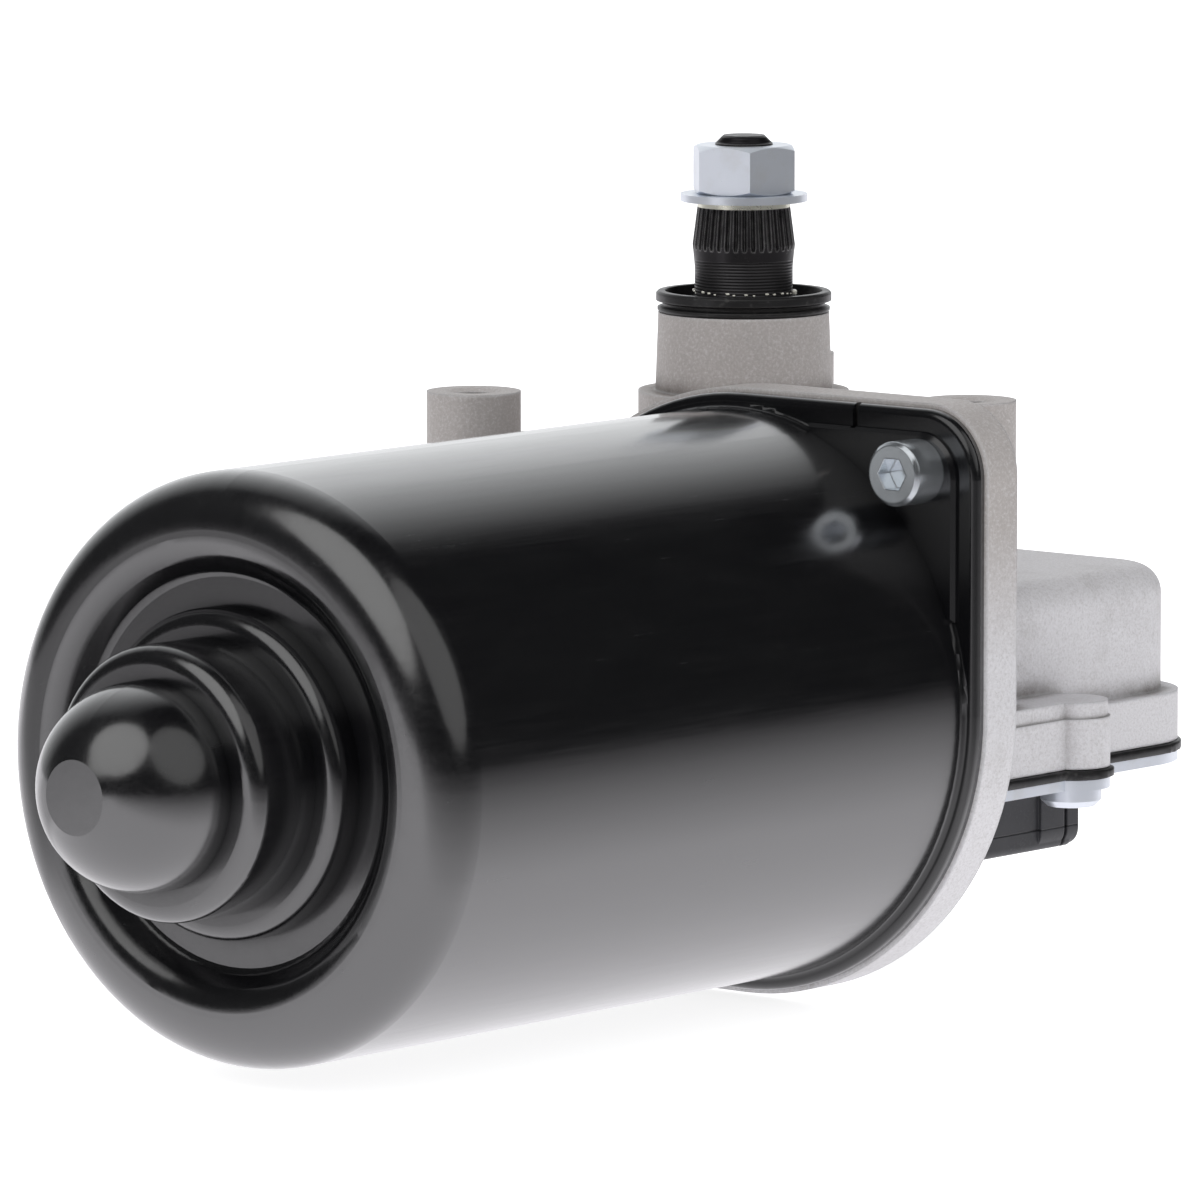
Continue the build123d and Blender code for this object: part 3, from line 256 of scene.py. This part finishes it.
def castAluminium():
    look = castLook
    material, tree, shader = newMaterial("castAluminium", Metallic=look["metallic"])
    point = objectPoint(tree)
    height = axisOf(tree, point, "Z")
    blotch = noise(tree, point, *look["blotchNoise"])
    mottle = noise(tree, point, *look["mottleNoise"])
    grain = noise(tree, point, *look["grainNoise"])
    pits = addNode(tree, "TexVoronoi", {"Vector": point, "Scale": look["pitScale"]}).outputs["Distance"]
    # painted light and shade: the colour turns lighter towards the bottom and darker towards the bosses
    colour = mixColour(tree, ramp(tree, height, look["lowZ"], look["highZ"]), look["low"], look["high"])
    colour = mixColour(tree, ramp(tree, blotch, *look["stainRamp"]), colour, look["stain"])
    colour = mixColour(tree, ramp(tree, mottle, *look["darkRamp"]), colour, look["stain"])
    colour = mixColour(tree, ramp(tree, mottle, *look["lightRamp"]), colour, look["bright"])
    # painted shade and grime: the colour darkens in the creases, in patches
    creased = ramp(tree, openness(tree, look["creaseReach"]), *look["creaseRamp"])
    dirtAndShade = combine(tree, "MULTIPLY", creased, ramp(tree, blotch, *look["patchRamp"]))
    colour = mixColour(tree, dirtAndShade, colour, look["creaseDirtAndShade"])
    worn = combine(tree, "MULTIPLY", edgeAmount(tree, look["edgeRadius"]), look["edgeWear"])
    colour = mixColour(tree, worn, colour, look["bright"])
    skin = combine(tree, "ADD", grain, combine(tree, "MULTIPLY", pits, look["pitShare"]))
    normal = bump(tree, skin, *look["grainRelief"], roundedNormal(tree, look["edgeRadius"]))
    normal = bump(tree, blotch, *look["waveRelief"], normal)
    normal = bump(tree, threadedBores(tree, point), *boreThread["relief"], normal)
    connect(
        tree, shader, Base_Color=colour, Roughness=ramp(tree, grain, *look["roughnessRamp"]), Normal=normal,
    )
    return material


# plated and bare metals share one recipe with different numbers; edge 0 leaves the edges as they are
metalLooks = {
    "zincPlate": {
        "colour": (0.86, 0.90, 0.97, 1), "worn": (0.76, 0.77, 0.77, 1), "wear": 0.5, "metallic": 0.8,
        "roughness": 0.3, "grainScale": 1500, "stretch": (1, 1, 1), "depth": 0.002 * mm, "edge": 0,
    },
    "polishedZinc": {
        "colour": (0.74, 0.78, 0.82, 1), "worn": (0.50, 0.52, 0.54, 1), "wear": 0.5, "metallic": 0.92,
        "roughness": 0.14, "grainScale": 1500, "stretch": (1, 1, 1), "depth": 0.002 * mm, "edge": 0.3 * mm,
    },
    "yellowZinc": {
        "colour": (0.90, 0.89, 0.76, 1), "worn": (0.78, 0.76, 0.66, 1), "wear": 0.5, "metallic": 0.8,
        "roughness": 0.26, "grainScale": 1500, "stretch": (1, 1, 1), "depth": 0.002 * mm, "edge": 0,
    },
    "groundSteel": {
        "colour": (0.56, 0.56, 0.57, 1), "worn": (0.40, 0.385, 0.37, 1), "wear": 0.35, "metallic": 0.92,
        "roughness": 0.2, "grainScale": 2600, "stretch": (6, 1, 1), "depth": 0.008 * mm, "edge": 0.25 * mm,
    },
    "laminatedSteel": {
        "colour": (0.24, 0.245, 0.26, 1), "worn": (0.16, 0.12, 0.09, 1), "wear": 0.6, "metallic": 0.92,
        "roughness": 0.42, "grainScale": 900, "stretch": (4, 1, 1), "depth": 0.03 * mm, "edge": 0.2 * mm,
    },
    "rolledBrass": {
        "colour": (0.75, 0.56, 0.25, 1), "worn": (0.42, 0.28, 0.12, 1), "wear": 0.5, "metallic": 0.92,
        "roughness": 0.28, "grainScale": 1500, "stretch": (1, 3, 1), "depth": 0.01 * mm, "edge": 0.2 * mm,
    },
    "drawnCopper": {
        "colour": (0.80, 0.40, 0.24, 1), "worn": (0.36, 0.15, 0.08, 1), "wear": 0.6, "metallic": 0.92,
        "roughness": 0.3, "grainScale": 1400, "stretch": (1, 2, 2), "depth": 0.02 * mm, "edge": 0.2 * mm,
    },
    "sinteredBronze": {
        "colour": (0.55, 0.37, 0.20, 1), "worn": (0.28, 0.18, 0.10, 1), "wear": 0.8, "metallic": 0.92,
        "roughness": 0.46, "grainScale": 2200, "stretch": (1, 1, 1), "depth": 0.03 * mm, "edge": 0.25 * mm,
    },
}
metalRecipe = {
    "fineDetail": (4, 0.6), "cloudSize": 8, "cloudDetail": (5, 0.6), "wornRamp": (0.5, 0.72),
    "roughRamp": (0.6, 1.4), "smoother": 0.03, "rougher": 0.09, "strength": 0.4,
}


def metal(name):
    look = metalLooks[name]
    recipe = metalRecipe
    material, tree, shader = newMaterial(name, Metallic=look["metallic"])
    fine = noise(tree, objectPoint(tree, look["stretch"]), look["grainScale"], *recipe["fineDetail"])
    cloud = noise(tree, objectPoint(tree), look["grainScale"] / recipe["cloudSize"], *recipe["cloudDetail"])
    worn = ramp(tree, cloud, *recipe["wornRamp"], 0, look["wear"])
    rough = ramp(
        tree, combine(tree, "ADD", fine, cloud), *recipe["roughRamp"],
        look["roughness"] - recipe["smoother"], look["roughness"] + recipe["rougher"],
    )
    edges = roundedNormal(tree, look["edge"]) if look["edge"] else None
    connect(
        tree, shader, Base_Color=mixColour(tree, worn, look["colour"], look["worn"]), Roughness=rough,
        Normal=bump(tree, fine, look["depth"], recipe["strength"], edges),
    )
    return material


# black-oxide output shaft: turned rings below the taper, crests of the serrations rubbed bright, which also
# paints glints on them
shaftLook = {
    "oxide": (0.030, 0.028, 0.030, 1), "rubbed": (0.46, 0.45, 0.45, 1), "metallic": 0.75,
    "roughnessRamp": (0.3, 0.7, 0.26, 0.46), "wornNoise": (700, 6, 0.7),
    "ringPitch": 0.42 * mm, "ringRelief": (0.10 * mm, 0.7), "ringTop": 16.6 * mm, "ringShare": 0.12,
    "threadPitch": 1.25 * mm, "threadRelief": (0.6 * mm, 0.8), "threadFoot": 23.8 * mm,
    "edgeRadius": 0.3 * mm, "edgeSharpness": 9.0, "crestRamp": (0.25, 0.55), "crestShare": 0.7,
    "patchRamp": (0.62, 0.75), "patchShare": 0.25,
}


def oxideShaft():
    look = shaftLook
    material, tree, shader = newMaterial("oxideShaft", Metallic=look["metallic"])
    point = objectPoint(tree)
    height = axisOf(tree, point, "Z")
    turned = combine(tree, "LESS_THAN", height, look["ringTop"])
    rings = combine(tree, "MULTIPLY", bands(tree, point, look["ringPitch"], "Z"), turned)
    onStud = combine(tree, "GREATER_THAN", height, look["threadFoot"])
    thread = combine(tree, "MULTIPLY", bands(tree, point, look["threadPitch"], "Z"), onStud)
    worn = noise(tree, point, *look["wornNoise"])
    # painted glints and wear: the serrations' sharp crests are made lighter in patches
    edges = edgeAmount(tree, look["edgeRadius"], look["edgeSharpness"])
    crests = combine(tree, "MULTIPLY", edges, ramp(tree, worn, *look["crestRamp"]), clamp=True)
    rubbed = combine(
        tree, "MAXIMUM", combine(tree, "MULTIPLY", crests, look["crestShare"]),
        combine(tree, "MULTIPLY", ramp(tree, worn, *look["patchRamp"]), look["patchShare"]),
    )
    rubbed = combine(tree, "MAXIMUM", rubbed, combine(tree, "MULTIPLY", rings, look["ringShare"]))
    connect(
        tree, shader, Base_Color=mixColour(tree, rubbed, look["oxide"], look["rubbed"]),
        Roughness=ramp(tree, worn, *look["roughnessRamp"]),
        Normal=bump(tree, thread, *look["threadRelief"], bump(tree, rings, *look["ringRelief"])),
    )
    return material


# mouldings, rubber, boards and ferrite: dull materials share one recipe
dullLooks = {
    "sealRubber": {
        "colour": (0.011, 0.0105, 0.011, 1), "fleck": (0.11, 0.105, 0.10, 1), "fleckAmount": 0.35,
        "roughness": 0.34, "scale": 500, "depth": 0.05 * mm, "edge": 0.3 * mm,
    },
    "connectorPlastic": {
        "colour": (0.030, 0.030, 0.034, 1), "fleck": (0.08, 0.08, 0.085, 1), "fleckAmount": 0.4,
        "roughness": 0.36, "scale": 800, "depth": 0.03 * mm, "edge": 0.35 * mm,
        "seam": -60.0 * mm, "seamWidth": 0.16 * mm, "seamColour": (0.002, 0.002, 0.002, 1),
    },
    "wheelAcetal": {
        "colour": (0.74, 0.72, 0.65, 1), "fleck": (0.50, 0.42, 0.28, 1), "fleckAmount": 0.3,
        "roughness": 0.38, "scale": 420, "depth": 0.02 * mm, "edge": 0.3 * mm,
    },
    "fibreBoard": {
        "colour": (0.24, 0.11, 0.045, 1), "fleck": (0.40, 0.24, 0.12, 1), "fleckAmount": 0.6,
        "roughness": 0.5, "scale": 900, "depth": 0.03 * mm, "edge": 0.2 * mm,
    },
    "magnetFerrite": {
        "colour": (0.055, 0.056, 0.06, 1), "fleck": (0.13, 0.13, 0.14, 1), "fleckAmount": 0.5,
        "roughness": 0.48, "scale": 1100, "depth": 0.05 * mm, "edge": 0.4 * mm,
    },
    "brushCarbon": {
        "colour": (0.03, 0.029, 0.03, 1), "fleck": (0.20, 0.12, 0.09, 1), "fleckAmount": 0.6,
        "roughness": 0.42, "scale": 1600, "depth": 0.03 * mm, "edge": 0.2 * mm,
    },
}
dullRecipe = {
    "spread": 3, "fineDetail": (4, 0.6), "broadDetail": (6, 0.7), "fleckRamp": (0.30, 0.42), "edgeWear": 0.3,
    "roughRamp": (0.3, 0.7), "smoother": 0.08, "rougher": 0.12, "strength": 0.4,
}


def dull(name):
    look = dullLooks[name]
    recipe = dullRecipe
    material, tree, shader = newMaterial(name)
    point = objectPoint(tree)
    fine = noise(tree, point, look["scale"] * recipe["spread"], *recipe["fineDetail"])
    broad = noise(tree, point, look["scale"] / recipe["spread"], *recipe["broadDetail"])
    flecks = ramp(tree, combine(tree, "MULTIPLY", fine, broad), *recipe["fleckRamp"], 0, look["fleckAmount"])
    rubbed = combine(tree, "MULTIPLY", edgeAmount(tree, look["edge"]), recipe["edgeWear"])
    colour = mixColour(tree, combine(tree, "MAXIMUM", flecks, rubbed), look["colour"], look["fleck"])
    rough = ramp(
        tree, broad, *recipe["roughRamp"],
        look["roughness"] - recipe["smoother"], look["roughness"] + recipe["rougher"],
    )
    normal = bump(tree, fine, look["depth"], recipe["strength"], roundedNormal(tree, look["edge"]))
    if "seam" in look:
        fromSeam = combine(tree, "SUBTRACT", axisOf(tree, point, "Z"), look["seam"])
        seam = ramp(tree, combine(tree, "ABSOLUTE", fromSeam, 0.0), 0.0, look["seamWidth"], 1.0, 0.0)
        colour = mixColour(tree, seam, colour, look["seamColour"])
        normal = bump(tree, seam, -look["seamWidth"], 1.0, normal)
    connect(tree, shader, Base_Color=colour, Roughness=rough, Normal=normal)
    return material


# enamelled copper wire on the armature, with painted shade in the gaps between the wires
coilLook = {
    "enamel": (0.52, 0.17, 0.07, 1), "gap": (0.10, 0.03, 0.015, 1), "gapRamp": (0.05, 0.5),
    "metallic": 0.55, "roughness": 0.32, "coat": 0.5, "wire": 0.9 * mm, "relief": (0.35 * mm, 0.7),
    "bendScale": 260, "bendDetail": 3.0,
}


def enamelCoils():
    look = coilLook
    material, tree, shader = newMaterial(
        "enamelCoils", Metallic=look["metallic"], Roughness=look["roughness"], Coat_Weight=look["coat"],
    )
    point = objectPoint(tree)
    bend = addNode(tree, "TexNoise", {
        "Vector": point, "Scale": look["bendScale"], "Detail": look["bendDetail"],
    }).outputs["Color"]
    bent = addNode(tree, "VectorMath", {0: point, 1: bend}, operation="MULTIPLY_ADD").outputs[0]
    wires = combine(
        tree, "MULTIPLY", bands(tree, point, look["wire"], "Y"), bands(tree, bent, look["wire"], "Z"),
    )
    # painted shade: the colour darkens in the gaps between the wires
    colour = mixColour(tree, ramp(tree, wires, *look["gapRamp"]), look["gap"], look["enamel"])
    connect(tree, shader, Base_Color=colour, Normal=bump(tree, wires, *look["relief"]))
    return material


finishes = {
    "can_black": paintedSteel(), "cast_aluminium": castAluminium(), "shaft_black": oxideShaft(),
    "zinc": metal("zincPlate"), "bright_steel": metal("groundSteel"), "core_steel": metal("laminatedSteel"),
    "brass": metal("rolledBrass"), "copper": metal("drawnCopper"), "bronze": metal("sinteredBronze"),
    "rubber_black": dull("sealRubber"), "connector_black": dull("connectorPlastic"),
    "wheel_plastic": dull("wheelAcetal"), "brown_board": dull("fibreBoard"),
    "ferrite": dull("magnetFerrite"), "carbon": dull("brushCarbon"),
}
ownFinishes = {
    "armature_windings": enamelCoils(), "can_screws": metal("polishedZinc"),
    "spring_washer": metal("yellowZinc"),
}
for name, node in frame["nodes"].items():
    for materialSlot in node.material_slots:
        slotName = materialSlot.material.name.split(".")[0]
        materialSlot.material = ownFinishes.get(name, finishes[slotName])

print("grease round the shaft")

# specks of white grease on the output shaft where it leaves the seal, the first one a larger lump
grease = {
    "count": 30, "radius": 6.75 * mm, "low": 12.0 * mm, "spread": 0.35 * mm, "speck": 0.14 * mm,
    "least": 0.6, "shape": (1, 1.5, 0.8), "dent": 0.22, "lump": 0.5 * mm, "lumpAngle": -50.0, "turnSpread": 9,
    "colour": (0.80, 0.78, 0.70, 1), "shade": (0.45, 0.42, 0.34, 1), "shadeRamp": (0.4, 0.7, 0, 0.5),
    "roughness": 0.28, "coat": 0.4, "cloudNoise": (1800, 4, 0.6), "relief": (0.08 * mm, 0.6),
    "scatter": (12.9898, 43758.5453),  # any large numbers: they place the specks unevenly, the same each time
}


def whiteGrease():
    material, tree, shader = newMaterial(
        "whiteGrease", Roughness=grease["roughness"], Coat_Weight=grease["coat"],
    )
    cloud = noise(tree, objectPoint(tree), *grease["cloudNoise"])
    colour = mixColour(tree, ramp(tree, cloud, *grease["shadeRamp"]), grease["colour"], grease["shade"])
    connect(tree, shader, Base_Color=colour, Normal=bump(tree, cloud, *grease["relief"]))
    return material


def greaseSpecks():
    bpy.ops.object.select_all(action="DESELECT")
    bpy.ops.mesh.primitive_ico_sphere_add(subdivisions=2, radius=1.0, location=(0, 0, 0))
    first = bpy.context.object
    bpy.ops.object.mode_set(mode="EDIT")
    bpy.ops.transform.vertex_random(offset=grease["dent"], uniform=0.4, normal=0.5, seed=3)
    bpy.ops.object.mode_set(mode="OBJECT")
    bpy.ops.object.shade_smooth()
    specks = [first]
    while len(specks) < grease["count"]:
        speck = first.copy()
        speck.data = first.data.copy()
        bpy.context.collection.objects.link(speck)
        specks.append(speck)
    step, gain = grease["scatter"]
    for number, speck in enumerate(specks):
        wobble = math.sin(number * step) * gain % 1
        turn = math.radians(number * 360 / grease["count"] + grease["turnSpread"] * wobble)
        size = grease["speck"] * (grease["least"] + wobble)
        if speck is first:
            turn = math.radians(grease["lumpAngle"])
            size = grease["lump"]
        height = grease["low"] + grease["spread"] * wobble
        speck.location = (grease["radius"] * math.cos(turn), grease["radius"] * math.sin(turn), height)
        speck.scale = [size * share for share in grease["shape"]]
        speck.rotation_euler = (0, 0, turn)
        speck.select_set(True)
    bpy.context.view_layer.objects.active = first
    bpy.ops.object.join()
    bpy.ops.object.transform_apply(location=True, rotation=True, scale=True)
    first.name = "grease_specks"
    first.data.materials.append(whiteGrease())
    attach(first, "output")


greaseSpecks()

print("gasket edge")

# the gasket between casting and cover: its cut edge is squeezed uneven
gasketEdge = {"merge": 0.002 * mm, "voxel": 0.4 * mm, "lump": 2.6 * mm, "squeeze": 0.2 * mm, "smooth": 2}


def squeezedGasket():
    source = frame["nodes"]["cover_gasket"]
    bpy.ops.object.select_all(action="DESELECT")
    source.select_set(True)
    bpy.context.view_layer.objects.active = source
    bpy.ops.object.duplicate()
    gasket = bpy.context.object
    gasket.name = "gasket_edge"
    bpy.ops.object.parent_clear(type="CLEAR_KEEP_TRANSFORM")
    bpy.ops.object.transform_apply(location=True, rotation=True, scale=True)
    bpy.ops.object.mode_set(mode="EDIT")
    bpy.ops.mesh.select_all(action="SELECT")
    bpy.ops.mesh.remove_doubles(threshold=gasketEdge["merge"])
    bpy.ops.mesh.normals_make_consistent(inside=False)
    bpy.ops.object.mode_set(mode="OBJECT")
    grid = gasket.modifiers.new("grid", "REMESH")
    grid.mode = "VOXEL"
    grid.voxel_size = gasketEdge["voxel"]
    bpy.ops.object.modifier_apply(modifier="grid")
    lumps = bpy.data.textures.new("gasketLumps", "CLOUDS")
    lumps.noise_scale = gasketEdge["lump"]
    squeeze = gasket.modifiers.new("squeeze", "DISPLACE")
    squeeze.texture = lumps
    squeeze.texture_coords = "LOCAL"
    squeeze.mid_level = 0.0
    squeeze.strength = -gasketEdge["squeeze"]
    bpy.ops.object.modifier_apply(modifier="squeeze")
    soften = gasket.modifiers.new("soften", "SMOOTH")
    soften.iterations = gasketEdge["smooth"]
    bpy.ops.object.modifier_apply(modifier="soften")
    bpy.ops.object.shade_smooth()
    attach(gasket, "housing")
    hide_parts("cover_gasket")


squeezedGasket()

print("floor and light")

# floor, world and lamps; a lamp's place is its share ahead, its share to the right and its height
studio = {
    "floorSize": 8.0, "floorGap": 0.2 * mm, "floorColour": (0.80, 0.80, 0.80, 1), "floorGlow": 0.62,
    "seenGlow": 0.15, "mirrorReach": 0.092, "mirrorColour": (0.98, 0.965, 1, 1),
    "sectorRamp": (0.38, 0.52), "noseRamp": (0.02, 0.25), "noseLeast": 0.01, "farSide": 0.4,
    "worldColour": (0.97, 0.985, 1, 1), "worldLevel": 0.8,
    "nearRamp": (0.03, 0.5, 0.003, 1.0), "sweepRamp": (-0.15, 0.62, 0.03, 1.0),
    "lampSize": 1.2, "keyPlace": (0.7, -0.45, 0.75), "keyWatts": 3.2,
    "fillPlace": (0.6, 0.6, 0.6), "fillWatts": 1.2,
}
view = {
    "azimuth": math.radians(-50.03), "elevation": math.radians(7.09), "distance": 1.48432, "lens": 327.3,
    "sensor": 36, "along": -0.01948, "height": -0.03005, "middleY": -0.02,
}
right = Vector((math.cos(view["azimuth"]), math.sin(view["azimuth"]), 0))
front = Vector((math.sin(view["azimuth"]), -math.cos(view["azimuth"]), 0))
back = front * math.cos(view["elevation"]) + Vector((0, 0, math.sin(view["elevation"])))
white = (1, 1, 1, 1)


def rayKind(tree, kind):
    return addNode(tree, "LightPath").outputs[kind]


def floorMaterial():
    material = bpy.data.materials.new("paleFloor")
    material.use_nodes = True
    tree = material.node_tree
    tree.nodes.clear()
    matt = addNode(tree, "BsdfDiffuse", {"Color": studio["floorColour"]}).outputs[0]
    seen = combine(tree, "MULTIPLY", rayKind(tree, "Is Camera Ray"), studio["seenGlow"])
    strength = combine(tree, "ADD", seen, studio["floorGlow"])
    glow = addNode(tree, "Emission", {"Color": white, "Strength": strength}).outputs[0]
    lit = addNode(tree, "AddShader", {0: matt, 1: glow}).outputs[0]
    # in reflections the floor is white near the motor, and darker on the near side and behind the nose
    point = addNode(tree, "TexCoord").outputs["Object"]
    across = axisOf(tree, point, "Y")
    aside = combine(tree, "MAXIMUM", combine(tree, "MULTIPLY", across, -1.0), studio["mirrorReach"])
    noseWay = combine(tree, "MULTIPLY", axisOf(tree, point, "X"), -1.0)
    noseWay = combine(tree, "MAXIMUM", noseWay, studio["noseLeast"])
    sector = ramp(tree, combine(tree, "DIVIDE", across, noseWay), *studio["sectorRamp"])
    behindNose = combine(tree, "MULTIPLY", sector, ramp(tree, noseWay, *studio["noseRamp"]))
    mirrored = combine(
        tree, "MULTIPLY", combine(tree, "DIVIDE", studio["mirrorReach"], aside),
        ramp(tree, behindNose, 0.0, 1.0, 1.0, studio["farSide"]),
    )
    shown = addNode(tree, "Emission", {"Color": studio["mirrorColour"], "Strength": mirrored}).outputs[0]
    mixed = addNode(tree, "MixShader", {0: rayKind(tree, "Is Glossy Ray"), 1: lit, 2: shown}).outputs[0]
    addNode(tree, "OutputMaterial", {"Surface": mixed})
    return material


def addFloor():
    bpy.ops.object.select_all(action="DESELECT")
    floorZ = startBox[0][2] - studio["floorGap"]
    bpy.ops.mesh.primitive_plane_add(size=studio["floorSize"], location=(0, 0, floorZ))
    floor = bpy.context.object
    floor.name = "floor"
    floor.data.materials.append(floorMaterial())


def addWorld():
    world = bpy.data.worlds.new("studio")
    world.use_nodes = True
    bpy.context.scene.world = world
    tree = world.node_tree
    tree.nodes.clear()
    heading = addNode(tree, "TexCoord").outputs["Generated"]
    # in reflections the room on the near side is dark, and the sweep behind is white and dims to the left
    mirrored = combine(
        tree, "MULTIPLY", ramp(tree, axisOf(tree, heading, "Y"), *studio["nearRamp"]),
        ramp(tree, axisOf(tree, heading, "X"), *studio["sweepRamp"]),
    )
    level = mixValue(tree, rayKind(tree, "Is Glossy Ray"), studio["worldLevel"], mirrored)
    sky = addNode(tree, "Background", {"Color": studio["worldColour"], "Strength": level}).outputs[0]
    plain = addNode(tree, "Background", {"Color": white, "Strength": 1.0}).outputs[0]
    seen = addNode(tree, "MixShader", {0: rayKind(tree, "Is Camera Ray"), 1: sky, 2: plain}).outputs[0]
    addNode(tree, "OutputWorld", {"Surface": seen})


# a soft round lamp aimed at the motor's middle
def areaLamp(name, place, watts):
    ahead, aside, height = place
    data = bpy.data.lights.new(name, "AREA")
    data.shape = "DISK"
    data.size = studio["lampSize"]
    data.energy = watts
    lamp = bpy.data.objects.new(name, data)
    bpy.context.collection.objects.link(lamp)
    lamp.location = front * ahead + right * aside + Vector((0, 0, height))
    lamp.rotation_euler = (motorMiddle - lamp.location).to_track_quat("-Z", "Y").to_euler()


addFloor()
addWorld()
motorMiddle = Vector((view["along"], view["middleY"], view["height"]))
areaLamp("keyLamp", studio["keyPlace"], studio["keyWatts"])
areaLamp("fillLamp", studio["fillPlace"], studio["fillWatts"])

print("camera")

cameraData = bpy.data.cameras.new("camera")
cameraData.lens = view["lens"]
cameraData.sensor_width = view["sensor"]
camera = bpy.data.objects.new("camera", cameraData)
bpy.context.collection.objects.link(camera)
camera.location = right * view["along"] + Vector((0, 0, view["height"])) + back * view["distance"]
camera.rotation_euler = back.to_track_quat("Z", "Y").to_euler()
bpy.context.scene.camera = camera

bpy.context.scene.view_settings.view_transform = "Standard"
